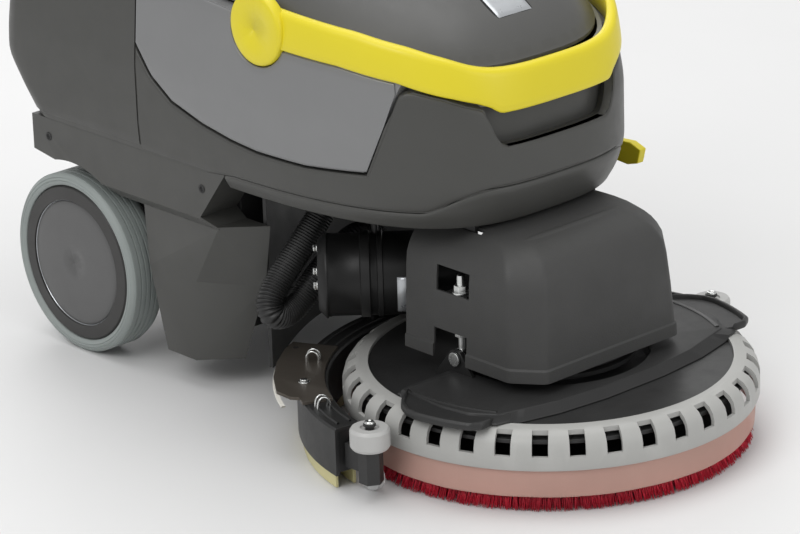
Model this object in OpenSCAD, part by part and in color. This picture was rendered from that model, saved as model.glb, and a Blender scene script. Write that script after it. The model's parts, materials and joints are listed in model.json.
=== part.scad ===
// Compact walk-behind floor scrubber with a round scrubbing head.
// Millimetres, +X forward, +Y to the machine's left, +Z up, floor at z = 0.
// Modules are drawn with the brush axis at x = 0, and place() moves them to the part's frame.

/* [Body] */
// Half width of the body at its widest
body_half = 178; // [172:1:182]
// How far the nose reaches in front of the brush axis
nose_reach = 20; // [16:1:22]
// How far the rear of the body lies behind the brush axis
rear_reach = 620; // [615:1:630]
// Height of the seam between the chassis and the tanks
seam_z = 242; // [241:0.5:243]
// Height of the top of the rear housing
rear_top_z = 446; // [442:1:450]
// Wall thickness of the moulded shells
wall = 4; // [3:0.5:5]

/* [Wheels] */
// Radius of the two transport wheels
tyre_r = 94; // [92:0.5:95]
// Width of the tyre
tyre_w = 42; // [38:1:42]
// Distance from the brush axis back to the wheel axle
wheelbase = 507; // [505:1:510]
// Outer face of the wheels, measured from the centre plane
wheel_face = 178; // [178:1:182]
// Radius of the hub cap
hub_cap_r = 66; // [62:1:68]
// Radius where the rim meets the tyre
rim_r = 81.5; // [80:0.5:84]

/* [Scrubbing head] */
// Outer radius of the splash ring
ring_r = 200; // [198:1:200]
// Bottom of the splash ring above the floor
ring_bottom = 43; // [41:1:46]
// Top of the splash ring
ring_top = 80; // [79:0.5:80]
// Number of slots round the splash ring
slot_count = 36; // [24:4:48]
// Radius of the brush at the floor
brush_r = 193; // [186:1:193]
// Tilt axis of the head, height above the floor
tilt_z = 100; // [99:0.5:101]
// Tilt axis of the head, along the machine
tilt_x = -20; // [-21:0.5:-19]

/* [Drive] */
// Radius of the brush motor
motor_r = 42; // [40:1:42]
// Height of the motor's axis
motor_z = 150; // [149:0.5:151]
// Direction of the motor's axis, from the gearbox to its end cap
motor_angle = 228; // [226:1:230]
// Length of the motor from its end cap to the gearbox flange
motor_length = 146; // [140:1:148]

/* [Squeegee] */
// Inner radius of the squeegee channel
channel_in = 214; // [212:1:216]
// Outer radius of the squeegee channel
channel_out = 244; // [242:1:246]
// Half of the arc that the squeegee covers, in degrees
channel_half_arc = 80; // [76:1:82]
// Radius of the deflector rollers
deflector_r = 19; // [16:0.5:19]
// Outside diameter of the suction hose
hose_d = 28; // [24:1:28]

/* [Push handle] */
// Height of the fold axis of the push handle
fold_z = 540; // [538:1:545]
// Height of the top of the column
column_top = 884; // [870:2:890]
// Half width of the handle loop, to the tube's centre
bow_half = 197; // [180:1:200]
// Radius of the handle tube
bow_tube_r = 12; // [11:0.5:12.5]

/* [Hidden] */

$fn = 72;
hull_fn = 32;
smooth_fn = 144;
frame_x = (rear_reach - ring_r) / 2;

anthracite = [0.26, 0.26, 0.25];
silver = [0.55, 0.56, 0.58];
yellow = [0.93, 0.87, 0.16];
black = [0.09, 0.09, 0.09];
light_grey = [0.68, 0.68, 0.67];
tyre_grey = [0.66, 0.69, 0.67];
steel = [0.62, 0.64, 0.66];

fit = 0.05;
nose_start = -300;
nose_power = 3;
nose_steps = 36;
corner_steps = 8;
corner_r = 42;
tank_rear = -389;
pivot_x = -209;
pivot_z = 402;
axle_z = tyre_r;
axle_r = 10;
deck_top = ring_top - 3;
skirt_r = ring_r - 4;
rod_y = 96;
pod_y = 128;
arm_z = 87;
arm_t = 4;
track_r = 66;
port_r = 229;
support_at = 256.5;
post_x = -5;
post_y = 230;
caster_x = -22;
caster_y = 216.8;
fold_x = -555;
fold_r = 30;
lid_hinge_x = -383;
lid_hinge_z = 453;
bow_x = -560;
bow_z = 908;
bow_tilt = -16;
bow_height = 150;
bow_corner = 30;
console_slope = 22;
pedal_pivot = [-122, 222];

// Points of the hose's centre line, from the chassis down and round to the squeegee port
hose_route = [
    [-232, -60, 240], [-232, -66, 212], [-233, -82, 188], [-235, -108, 160], [-236, -136, 132],
    [-234, -150, 116], [-230, -151, 104], [-229, -138, 100], [-229, -120, 106], [-228, -98, 124],
    [-226, -72, 144], [-225, -46, 156], [-226, -24, 152], [-228, -8, 138], [-229, 0, 118],
    [-229, 0, 100], [-229, 0, 84.4]];

// ---- curves that shape the body ----

function side_of(v) = v < 0 ? -1 : 1;
function nose_at(z) = lookup(z, [[228, nose_reach - 18], [245, nose_reach - 9], [268, nose_reach],
    [330, nose_reach], [400, nose_reach - 12], [470, nose_reach - 30]]);
function rear_at(z) = -lookup(z, [[200, rear_reach - 58], [seam_z, rear_reach - 42],
    [300, rear_reach], [360, rear_reach - 5], [470, rear_reach - 16]]);
function half_at(z) = lookup(z, [[228, body_half - 12], [seam_z, body_half - 2], [270, body_half],
    [330, body_half], [400, body_half - 6], [470, body_half - 16]]);

// Plan outline of the body at height z: bowed nose, straight sides, rounded rear corners
function body_ring(z, inset, rear, corner) = let(half = half_at(z) - inset) concat(
    [for (i = [0 : nose_steps]) let(a = -90 + 180 * i / nose_steps)
        [nose_start + (nose_at(z) - inset - nose_start) * pow(abs(cos(a)), 2 / nose_power),
         half * side_of(sin(a)) * pow(abs(sin(a)), 2 / nose_power), z]],
    [for (i = [0 : corner_steps]) let(a = 90 + 90 * i / corner_steps)
        [rear + corner * (1 + cos(a)), half - corner * (1 - sin(a)), z]],
    [for (i = [0 : corner_steps]) let(a = 180 + 90 * i / corner_steps)
        [rear + corner * (1 + cos(a)), -half + corner * (1 + sin(a)), z]]);

function outer_ring(z, inset) = body_ring(z, inset, rear_at(z) + inset, corner_r - inset / 2);

// Solid between a stack of closed rings that all have the same number of points
module skin(rings) {
    n = len(rings[0]);
    top = (len(rings) - 1) * n;
    polyhedron(
        points = [for (ring = rings) each ring],
        faces = concat(
            [[for (i = [0 : n - 1]) i]],
            [[for (i = [n - 1 : -1 : 0]) top + i]],
            [for (k = [0 : len(rings) - 2]) for (i = [0 : n - 1]) let(j = (i + 1) % n)
                [k * n + i, (k + 1) * n + i, (k + 1) * n + j]],
            [for (k = [0 : len(rings) - 2]) for (i = [0 : n - 1]) let(j = (i + 1) % n)
                [k * n + i, (k + 1) * n + j, k * n + j]]));
}

module body_loft(heights, inset = 0) {
    skin([for (z = heights) outer_ring(z, inset)]);
}

// ---- small helpers ----

module place() {
    translate([frame_x, 0, 0]) children();
}

// A side view outline in X and Z, pushed out along Y from y0 to y1
module side_plate(points, y0, y1) {
    translate([0, y1, 0]) rotate([90, 0, 0]) linear_extrude(y1 - y0) polygon(points);
}

// A cylinder along Y from y0 to y1
module across(x, z, r, y0, y1) {
    translate([x, y1, z]) rotate([90, 0, 0]) cylinder(r = r, h = y1 - y0);
}

module tube(r_out, r_in, h) {
    difference() {
        cylinder(r = r_out, h = h);
        translate([0, 0, -1]) cylinder(r = r_in, h = h + 2);
    }
}

// Mirror a right-hand piece to the left
module both_sides() {
    children();
    mirror([0, 1, 0]) children();
}

module on_left(left) {
    mirror([0, left ? 1 : 0, 0]) children();
}

// Part of a ring, with the profile in radius and height
module arc(start, sweep, profile) {
    rotate([0, 0, start]) rotate_extrude(angle = sweep, $fn = smooth_fn) polygon(profile);
}

function box_profile(r0, r1, z0, z1) = [[r0, z0], [r1, z0], [r1, z1], [r0, z1]];

// Along the motor's axis, with z = 0 at the outer face of the end cap
module on_motor_axis() {
    translate([-184, -131, motor_z]) rotate([0, 0, motor_angle - 180]) rotate([0, 90, 0]) children();
}

// In the plane of the handle loop: x forward of the plane, y across, z up along it
module on_bow() {
    translate([bow_x, 0, bow_z]) rotate([0, bow_tilt, 0]) children();
}

// On the sloping top of the console, z along its normal
module on_console() {
    translate([-560, 0, 934]) rotate([0, -console_slope, 0]) children();
}

// ---- chassis ----

module chassis_frame() {
    plate_ring = [for (p = outer_ring(seam_z, 8)) if (p[0] > -556) [p[0], p[1]]];
    hanger = [[-40, seam_z - 4], [-16, seam_z - 4], [-16, 200], [-8, 184], [32, 134], [32, 93], [-22, 93],
        [-22, 134], [-40, 172]];
    color(black) place() {
        difference() {
            translate([0, 0, seam_z - 5]) linear_extrude(4) polygon(plate_ring);
            for (y = [-200, pod_y - 0.3]) translate([-600, y, 200]) cube([338, 200 - pod_y + 0.3, 50]);
            translate([hose_route[0][0], hose_route[0][1], 0]) cylinder(r = hose_d / 2 + 2, h = 300);
            translate([-430, -95, 0]) cylinder(r = 16, h = 300);
        }
        both_sides() {
            side_plate(hanger, 76, 80);
            difference() {
                translate([-34, 79, 160]) cube([27, 22.5, 4]);
                translate([tilt_x, rod_y, 150]) cylinder(r = 4 + fit, h = 20);
            }
        }
        rotate_extrude($fn = smooth_fn) polygon([[track_r - 4, 83], [track_r + 3, 83],
            [track_r + 3, 85.5], [track_r, 85.5], [track_r, 93], [80, 93], [80, 97],
            [track_r - 4, 97]]);
    }
}

module nose_skirt() {
    px = pedal_pivot[0];
    pz = pedal_pivot[1];
    below_seam = [[-262, 200], [60, 200], [60, 269.8], [5, 269.8], [-2, 266], [-28, seam_z + 5.3],
        [-250, seam_z + 4], [-262, seam_z + 2.6]];
    color(anthracite) place() difference() {
        intersection() {
            body_loft([229, 235, seam_z, 250, 260, 271]);
            side_plate(below_seam, -200, 200);
        }
        body_loft([220, 235, seam_z, 250, 260, 280], wall);
    }
    color(anthracite) place() {
        translate([px - 12, 148, 226]) cube([24, 23, 10]);
        side_plate([[px - 12, pz - 10], [px + 12, pz - 10], [px + 12, 236], [px - 12, 236]], 170, 174);
        across(px, pz, 3, 170, 189);
    }
}

// Side pod over one wheel, drawn for the right side
module pod() {
    y_in = pod_y;
    y_low = 165;
    y_top = body_half - 3;
    upper = [[-566, seam_z - 0.6], [-566, 204], [-480, 191], [-305, 191], [-264, seam_z + 2.2],
        [-290, seam_z - 0.6]];
    knee_outer = [[-404, 182], [-289, 182], [-328, 116], [-400, 116]];
    knee_inner = [[-404, 182], [-255, 182], [-266, 116], [-400, 116]];
    foot_outer = [[-400, 117], [-328, 117], [-334, 31], [-378, 31]];
    foot_inner = [[-400, 117], [-266, 117], [-302, 31], [-378, 31]];
    pocket = [[-394, 176], [-318, 176], [-345, 112], [-348, 37], [-371, 37], [-390, 112]];
    mirror([0, 1, 0]) difference() {
        union() {
            side_plate(upper, y_in, y_top);
            hull() {
                side_plate([[-500, 192], [-305, 192], [-305, 190], [-500, 190]], y_in, y_top);
                side_plate([[-500, 181], [-289, 181], [-289, 179], [-500, 179]], y_in, y_low);
            }
            hull() {
                side_plate(knee_outer, y_low - 0.2, y_low);
                side_plate(knee_inner, y_in, y_in + 0.2);
            }
            hull() {
                side_plate(foot_outer, y_low - 0.2, y_low);
                side_plate(foot_inner, y_in, y_in + 0.2);
            }
        }
        side_plate(pocket, y_in - 1, y_low - wall);
        across(-wheelbase, axle_z + 3, tyre_r + 11, y_in - 2, 220);
        translate([-600, y_in - 1, 150]) cube([34, 100, 54]);
    }
}

module pod_right() { color(anthracite) place() pod(); }
module pod_left() { color(anthracite) place() mirror([0, 1, 0]) pod(); }

module bulkhead() {
    arch_r = 255;
    color(anthracite) place() difference() {
        arc(154.3, 51.4, box_profile(291, 295, 31, seam_z - 6));
        translate([-400, 0, 60 - arch_r]) rotate([0, 90, 0]) cylinder(r = arch_r, h = 200, $fn = smooth_fn);
    }
}

module battery_tray() {
    color(black) place() difference() {
        translate([-552, -126.5, 62]) cube([252, 253, 172]);
        translate([-549, -123.5, 65]) cube([246, 247, 180]);
    }
}

module battery(left) {
    color([0.2, 0.2, 0.22]) place() on_left(left) {
        translate([-546, -121, 65.3]) cube([240, 118, 150]);
        translate([-546, -121, 215]) translate([3, 3, 0]) cube([234, 112, 8]);
        for (x = [-520, -332]) translate([x, -30, 222.5]) cylinder(r = 8, h = 9);
    }
}
module battery_left() { battery(true); }
module battery_right() { battery(false); }

module axle(left) {
    color(steel) place() on_left(left) {
        across(-wheelbase, axle_z, axle_r, -171, -127);
        across(-wheelbase, axle_z, 26, -134, -127);
    }
}
module axle_left() { axle(true); }
module axle_right() { axle(false); }

// ---- tanks and housings ----

// Side view of the removable waste tank, grown by g on the sides that face the housing
function tank_side(g) = [
    [tank_rear - g, 600], [tank_rear - g, 352 - g / 2], [-364 - g * 0.8, 324 - g * 0.8],
    [-335 - g / 2, 305 - g], [-290, 292 - g], [-250, 285 - g], [-213, 281 - g], [-150, 280 - g],
    [-83 + g, 284.5 - g], [-59.5 + g, 346 - g], [60, 346 - g], [60, 600]];

// Side view of the carry handle's band, grown by g
function band_side(g) = [
    [pivot_x - g, pivot_z - 13 - g], [-105, 383 - g], [-47, 374 - g], [-5 - g, 359.5 - g],
    [6 - g, 354 - g], [11.5 - g, 349 - g], [14.5 - g, 342 - g], [60, 342 - g], [60, 379.5 + g],
    [12, 381.5 + g], [2, 386 + g], [-12, 395.7 + g], [-40, 406.5 + g], [-87, 416 + g],
    [-147, 421.5 + g], [pivot_x - g, pivot_z + 25 + g]];

// Side view of the housing's rim in front of the tank's panels
rim_side = [[-57, 340], [-56.2, 344], [-50.1, 360], [-46.5, 363.8], [-39.3, 365.8], [-16, 358.9],
    [4, 347.4], [9, 340]];

// Front view of the grip recess
grip_front = [[-64, 308.5], [64, 308.5], [71, 313], [76.5, 322.5], [83, 341], [86, 352], [-86, 352],
    [-83, 341], [-76.5, 322.5], [-71, 313]];

module fresh_tank() {
    above_seam = [[-700, seam_z], [-290, seam_z], [-250, seam_z + 4.6], [-28, seam_z + 6.3], [-2, 267],
        [5, 270.8], [60, 270.8], [60, 480], [-700, 480]];
    water = [[-385, 252], [-34, 252], [-10, 271], [0, 276], [16, 276], [16, 300], [-8, 303], [-8, 337],
        [-48, 337], [-76, 277], [-150, 272.5], [-213, 273.5], [-250, 277.5], [-290, 284.5],
        [-338, 296.5], [-372.5, 322], [-385, 337]];
    color(anthracite) place() difference() {
        intersection() {
            body_loft([seam_z, 250, 260, 270, 300, 330, 360, 400, rear_top_z - 8]);
            side_plate(above_seam, -200, 200);
        }
        difference() {
            union() {
                side_plate(tank_side(1), -200, 200);
                difference() {
                    side_plate(tank_side(3), -200, 200);
                    body_loft([260, 300, 360, 400, 450], 6);
                }
            }
            difference() {
                side_plate(rim_side, -200, 200);
                body_loft([300, 330, 360, 400], 9.5);
            }
        }
        intersection() {
            body_loft([seam_z + 1, 260, 270, 300, 330, 350], wall);
            side_plate(water, -200, 200);
            body_loft([seam_z + 1, 302, 303, 350], wall);
        }
        intersection() {
            body_loft([seam_z + wall, 300, 360, 480], wall);
            translate([-700, -200, seam_z + wall]) cube([305, 400, 300]);
        }
        difference() {
            translate([-20, 0, 0]) rotate([90, 0, 90]) linear_extrude(80) polygon(grip_front);
            body_loft([300, 330, 360], 15);
        }
        difference() {
            side_plate(band_side(1.5), -220, 220);
            body_loft([300, 330, 360, 400, 450], 9.5);
        }
        translate([-440, 95, 380]) cylinder(r = 24, h = 100);
    }
}

module rear_cap() {
    color(anthracite) place() difference() {
        union() {
            intersection() {
                skin([outer_ring(rear_top_z - 7.5, 0), outer_ring(rear_top_z - 2, 2),
                    outer_ring(rear_top_z + 1, 8)]);
                translate([-700, -200, 400]) cube([309, 400, 100]);
            }
            hull() {
                translate([-608, -80, rear_top_z - 2]) cube([120, 160, 2]);
                translate([-598, -66, 504]) cube([86, 132, 2]);
            }
            both_sides() hull() {
                across(fold_x, fold_z, 24, 60.5, 66.5);
                translate([-590, 60.5, 490]) cube([70, 6, 2]);
            }
            translate([-440, 95, rear_top_z - 4]) cylinder(r = 27, h = 14);
            for (s = [-1, 1]) translate([-480, 95 + s * 12 - 3, rear_top_z - 2]) cube([10, 6, 16]);
            across(-475, rear_top_z + 10, 2.5, 80, 110);
        }
        translate([-440, 95, 420]) cylinder(r = 22, h = 100);
        across(fold_x, fold_z, fold_r + 1.5, -60.5, 60.5);
    }
    color(anthracite) place() across(fold_x, fold_z, 8, -64, 64);
}

module filler_cap() {
    cap_z = rear_top_z + 10.3;
    color(black) place() difference() {
        union() {
            translate([-440, 95, cap_z]) cylinder(r = 30, h = 8);
            translate([-440, 95, cap_z - 6]) cylinder(r = 20.5, h = 7);
            translate([-478, 95 - 7, cap_z + 1]) cube([16, 14, 5]);
            across(-475, rear_top_z + 10, 5, 88, 102);
        }
        across(-475, rear_top_z + 10, 2.5 + fit, 80, 110);
    }
}

module vacuum_motor() {
    color(black) place() translate([-510, 40, seam_z + wall + 0.5]) {
        cylinder(r = 62, h = 26);
        translate([0, 0, 26]) cylinder(r = 46, h = 60);
        translate([0, 0, 86]) cylinder(r = 30, h = 14);
    }
}

module suction_pipe() {
    color(black) place() translate([-430, -95, seam_z + wall + 0.5]) tube(15, 13, 180);
}

// Flush side panels below the band, and a narrower part that the band and lid close over
module waste_tank() {
    heights = [270, 300, 330, 360, 400, 430];
    panel = [[-420, 425], [pivot_x, 409], [pivot_x, 387.5], [-105, 381.5], [-49.2, 372.8],
        [-59.5, 346], [-36, 345.9], [-36, 200], [-420, 200]];
    core = [[-420, 425], [pivot_x, 409], [30, 367.5], [60, 367.5], [60, 200], [-420, 200]];
    inner = [[tank_rear + wall, 600], [tank_rear + wall, 354], [-361, 328], [-333, 309], [-250, 289],
        [-213, 285], [-150, 284], [-85, 289], [-60, 350], [4, 350], [4, 600]];
    color(silver) place() {
        difference() {
            intersection() {
                union() {
                    difference() {
                        intersection() {
                            skin([for (z = heights) body_ring(z, 0, tank_rear, 3)]);
                            side_plate(panel, -200, 200);
                        }
                        across(pivot_x, pivot_z, 37.5, -200, 200);
                    }
                    intersection() {
                        skin([for (z = heights) body_ring(z, 11, tank_rear, 3)]);
                        side_plate(core, -200, 200);
                    }
                }
                side_plate(tank_side(0), -200, 200);
            }
            intersection() {
                skin([for (z = [272, 330, 400, 440]) body_ring(z, 11 + wall, tank_rear + wall, 3)]);
                side_plate(inner, -200, 200);
            }
        }
        both_sides() {
            across(pivot_x, pivot_z, 10, 158, 176);
            across(lid_hinge_x, lid_hinge_z, 4, 93, 127);
            for (y = [92, 124]) side_plate([[-388, 400], [-379, 400], [-379, lid_hinge_z],
                [-388, lid_hinge_z]], y, y + 4);
        }
    }
}

// Lid height above its rim: s runs from 1 at the rim to 0 at the crown
function lid_rim(x) = lookup(x, [[-400, 427], [pivot_x, 411], [30, 369.5]]);
function lid_rise(s) = lookup(s, [[0, 78], [0.35, 70], [0.62, 55], [0.84, 34], [0.95, 16], [1, 3]]);
function lid_ring(s, drop) = let(base = body_ring(400, 14, tank_rear + 8, 20), cx = -190) [
    for (p = base) let(x = cx + (p[0] - cx) * s, y = p[1] * s)
        [x, y, lid_rim(cx + (p[0] - cx)) + (lid_rim(x) - lid_rim(cx + (p[0] - cx))) * (1 - s)
            + lid_rise(s) - drop]];

module tank_lid() {
    steps = [1, 0.95, 0.9, 0.84, 0.74, 0.62, 0.48, 0.35, 0.2, 0.08];
    base = body_ring(400, 14, tank_rear + 8, 20);
    color(anthracite) place() {
        difference() {
            skin(concat([[for (p = base) [p[0], p[1], lid_rim(p[0])]]],
                [for (s = steps) lid_ring(s, 0)]));
            skin(concat([[for (p = base) [p[0] * 0.97 - 5.5, p[1] * 0.96, lid_rim(p[0]) - 8]]],
                [for (s = [0.95, 0.84, 0.62, 0.35, 0.1]) lid_ring(s * 0.96, wall + 3)]));
            for (y = [-129.5, 90.5]) translate([-392, y, 400]) cube([16, 39, 90]);
            // The lower edge is trimmed to the rim's two straight slopes
            side_plate([for (x = [-420, -400, pivot_x, 30, 60]) [x, lid_rim(x) + 0.5],
                [60, 200], [-420, 200]], -200, 200);
        }
        both_sides() difference() {
            union() {
                across(lid_hinge_x, lid_hinge_z, 7, 97, 123);
                translate([lid_hinge_x, 97, lid_hinge_z - 6]) cube([36, 26, 8]);
            }
            across(lid_hinge_x, lid_hinge_z, 4 + fit, 80, 140);
        }
    }
}

module carry_handle() {
    color(yellow) place() difference() {
        union() {
            intersection() {
                difference() {
                    skin([for (z = [330, 360, 400, 440]) body_ring(z, -4, -330, 5)]);
                    skin([for (z = [320, 360, 400, 450]) body_ring(z, 5, -340, 5)]);
                }
                side_plate(band_side(0), -220, 220);
            }
            both_sides() {
                across(pivot_x, pivot_z, 36, 166, 177);
            }
        }
        both_sides() across(pivot_x, pivot_z, 10 + fit, 100, 176.3);
    }
}

// ---- scrubbing head: fixed cover and hangers ----

function cover_plan(x0, x1, x2, y1, y2, z) = [[x0, -y1, z], [x1, -y1, z], [x2, -y2, z],
    [x2, y2, z], [x1, y1, z], [x0, y1, z]];

// Stacked outlines of the head cover, grown by g, from the height low to its crown
module cover_block(g, rear, low) {
    skin([cover_plan(rear, 54 + g, 83 + g, 108 + g, 86 + g, low),
        cover_plan(rear, 54 + g, 82 + g, 107 + g, 86 + g, 120),
        cover_plan(rear, 50 + g, 76 + g, 104 + g, 80 + g, 190),
        cover_plan(rear, 42 + g, 64 + g, 95 + g, 72 + g, 208 + g),
        cover_plan(rear, 20 + g, 38 + g, 84 + g, 64 + g, 221 + g),
        cover_plan(rear, -10, 8, 70, 52, 226 + g)]);
}

module head_cover() {
    color([0.2, 0.2, 0.19]) place() difference() {
        cover_block(0, -86, 97);
        cover_block(-3, -96, 90);
        for (s = [-1, 1]) {
            translate([-44, s > 0 ? 95 : -125, 164]) cube([44, 30, 25]);
            translate([-47, s > 0 ? 95 : -125, 90]) cube([44, 30, 36]);
            translate([-41.5, s > 0 ? 75 : -81, 200]) cube([35, 6, 40]);
        }
    }
}

module adjust_rods() {
    color(steel) place() both_sides() {
        translate([tilt_x, rod_y, 0]) rotate_extrude() polygon([[0, 107], [4, 107], [4, 164.1],
            [8.5, 164.1], [8.5, 165.8], [4, 165.8], [4, 182], [0, 182]]);
        for (z = [120.5, 165.7]) translate([tilt_x, rod_y, z]) rotate([0, 0, 5])
            cylinder(r = 6.8, h = 6.3, $fn = 6);
        translate([tilt_x, rod_y, 154.5]) cylinder(r = 5.4, h = 5.3, $fn = 6);
        difference() {
            across(tilt_x, tilt_z, 9, rod_y - 4.5, rod_y + 4.5);
            across(tilt_x, tilt_z, 5 + fit, rod_y - 10, rod_y + 10);
        }
    }
}

module pivot_pins() {
    color(steel) place() both_sides() {
        across(tilt_x, tilt_z, 5, rod_y - 11, rod_y + 10);
        across(tilt_x, tilt_z, 7, rod_y + 9.8, rod_y + 12.5);
    }
}

// ---- wheels ----

module wheel(left) {
    place() on_left(left) translate([-wheelbase, -wheel_face, axle_z]) rotate([-90, 0, 0]) children();
}

module tyre(left) {
    color(tyre_grey) wheel(left) rotate_extrude($fn = smooth_fn) polygon([[rim_r, 3],
        [rim_r, tyre_w - 3], [rim_r + 4, tyre_w - 1], [tyre_r - 5, tyre_w], [tyre_r - 1.2, tyre_w - 3],
        [tyre_r, tyre_w - 7], [tyre_r, 7], [tyre_r - 1.2, 3], [tyre_r - 5, 0], [rim_r + 4, 1]]);
}
module tyre_left() { tyre(true); }
module tyre_right() { tyre(false); }

module rim(left) {
    color([0.24, 0.23, 0.22]) wheel(left) rotate_extrude($fn = smooth_fn) polygon([
        [axle_r + fit, 9], [22, 9], [22, 14], [hub_cap_r - 6, 14], [hub_cap_r + 0.3, 7],
        [hub_cap_r + 0.3, 1], [rim_r - 2, 1.5], [rim_r - 0.05, 4], [rim_r - 0.05, tyre_w - 4],
        [rim_r - 5, tyre_w - 4], [rim_r - 5, 20], [22, 20], [22, 43], [axle_r + fit, 43]]);
}
module rim_left() { rim(true); }
module rim_right() { rim(false); }

module hub_cap(left) {
    color([0.5, 0.5, 0.5]) wheel(left) rotate_extrude($fn = smooth_fn) polygon([[0, 0], [50, 0.4],
        [hub_cap_r - 2, 2], [hub_cap_r, 4], [hub_cap_r, 5.5], [hub_cap_r - 4, 5.5], [50, 3.4], [0, 3]]);
}
module hub_cap_left() { hub_cap(true); }
module hub_cap_right() { hub_cap(false); }

// ---- scrubbing head: tilting deck ----

module deck_plate() {
    color(black) place() difference() {
        union() {
            translate([0, 0, deck_top - 7]) cylinder(r = 174.7, h = 7, $fn = smooth_fn);
            translate([0, 0, deck_top - 11]) cylinder(r = ring_r - 10, h = 4, $fn = smooth_fn);
        }
        translate([0, 0, 50]) cylinder(r = 24, h = 40);
    }
}

module splash_ring() {
    r = ring_r;
    color(light_grey) place() difference() {
        rotate_extrude($fn = smooth_fn) polygon([[r - 3.7, ring_bottom], [r - 1, ring_bottom],
            [r, ring_bottom + 2], [r, 62], [r - 2, 69], [r - 6, 74.5], [r - 12, 78.5],
            [r - 18, ring_top], [r - 25, ring_top], [r - 25, deck_top - 7], [r - 21, deck_top - 7],
            [r - 21, 76], [r - 13, 74], [r - 8, 70], [r - 5, 66], [r - 3.7, 61]]);
        for (i = [0 : slot_count - 1]) rotate([0, 0, (i + 0.24) * 360 / slot_count])
            translate([r - 13, -7.5, 57]) cube([20, 15, 22.4]);
    }
}

module splash_skirt() {
    color([0.72, 0.62, 0.54]) place() translate([0, 0, 15]) tube(skirt_r, skirt_r - 2.5, 37, $fn = smooth_fn);
}

// Outline of the bridge at one height, from its rear edge round the front
function bridge_ring(front, rear, half, z) = concat([[rear, -half, z]],
    [for (p = front) [p[0], -p[1], z]], [for (i = [len(front) - 1 : -1 : 0]) [front[i][0], front[i][1], z]],
    [[rear, half, z]]);

// Raised bridge over the deck with a sloping front, and a lip over the splash ring at each end
module deck_bridge() {
    low_front = [[30, 171], [95, 144], [109, 95], [115, 38]];
    top_front = [[30, 170], [88, 144], [101, 88], [107, 35]];
    lip = concat([for (a = [-97 : 5 : -62]) 166 * [cos(a), sin(a)]],
        [for (p = [[-61.5, 186], [-63, 199], [-66, 206], [-70, 206], [-74, 206], [-78, 206],
            [-82, 206], [-86, 203], [-90, 195], [-93, 186], [-96, 174]])
            p[1] * [cos(p[0]), sin(p[0])]]);
    color(anthracite) place() {
        difference() {
            skin([bridge_ring(low_front, -30, 168, deck_top), bridge_ring(top_front, -30, 168, deck_top + 9.5)]);
            translate([0, 0, 60]) cylinder(r = 98, h = 60, $fn = smooth_fn);
            both_sides() translate([-49, rod_y - 10.5, 60]) cube([58, 21, 60]);
        }
        both_sides() translate([0, 0, ring_top + 0.6]) linear_extrude(7.2) mirror([0, 1, 0])
            polygon(lip);
    }
}

module pin_brackets() {
    color(black) place() both_sides() {
        for (y = [rod_y - 9.5, rod_y + 5.5]) difference() {
            side_plate([[-48, deck_top + 0.5], [8, deck_top + 0.5], [8, deck_top + 3],
                [-14, tilt_z + 8], [-26, tilt_z + 8], [-48, deck_top + 3]], y, y + 4);
            across(tilt_x, tilt_z, 5 + fit, y - 1, y + 5);
        }
        translate([-48, rod_y - 9.5, deck_top]) cube([56, 19, 3]);
    }
}

module gearbox() {
    color([0.3, 0.3, 0.31]) place() difference() {
        union() {
            translate([0, 0, deck_top]) cylinder(r = 58, h = 10);
            translate([0, 0, deck_top + 10]) cylinder(r = 48, h = 40);
            translate([0, 0, 124]) cylinder(r = 60, h = 52);
            on_motor_axis() {
                translate([0, 0, motor_length]) cylinder(r = motor_r - 1, h = 6);
                translate([0, 0, motor_length]) cylinder(r = 27, h = 102);
            }
        }
        translate([0, 0, 50]) cylinder(r = 12 + fit, h = 62);
        translate([0, 0, 100]) cylinder(r = 16, h = 30);
    }
}

module drive_motor() {
    color(black) place() on_motor_axis() {
        translate([0, 0, 9.5]) cylinder(r = motor_r - 1.5, h = motor_length - 9.5);
        translate([0, 0, 42]) cylinder(r = motor_r, h = 9);
        translate([0, 0, 58]) cylinder(r = motor_r - 0.2, h = 5);
    }
}

module motor_cap() {
    color([0.12, 0.12, 0.12]) place() on_motor_axis() {
        rotate_extrude() polygon([[0, 0], [motor_r - 8, 0], [motor_r - 6, 1], [motor_r, 7],
            [motor_r, 9.4], [0, 9.4]]);
    }
}

// ---- brush ----

module brush_disc() {
    color(black) place() difference() {
        union() {
            translate([0, 0, 22]) cylinder(r = 184, h = 7, $fn = smooth_fn);
            translate([0, 0, 29]) cylinder(r = 70, h = 12);
            translate([0, 0, 41]) cylinder(r = 20, h = 24);
            translate([0, 0, 65]) cylinder(r = 12, h = 45);
        }
        translate([0, 0, 15]) cylinder(r = 4 + fit, h = 110);
        translate([0, 0, 10]) cylinder(r = 20, h = 20);
    }
}

module bristles() {
    color([0.75, 0.06, 0.14]) place() rotate_extrude($fn = smooth_fn) polygon([[80, 22], [74, 0],
        [brush_r, 0], [brush_r - 5, 22]]);
}

module release_pin() {
    color(steel) place() {
        translate([0, 0, 27]) cylinder(r = 4, h = 90);
        translate([0, 0, 115]) cylinder(r = 9, h = 5);
    }
}

module release_pedal() {
    px = pedal_pivot[0];
    pz = pedal_pivot[1];
    color(yellow) place() difference() {
        union() {
            across(px, pz, 9, 179, 188);
            side_plate([[px, pz - 8], [px, pz + 8], [-66, pz + 12], [-52, pz + 7], [-56, pz - 8],
                [-70, pz - 12]], 179, 188);
        }
        across(px, pz, 3 + fit, 170, 190);
    }
}

// ---- squeegee ----

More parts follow.
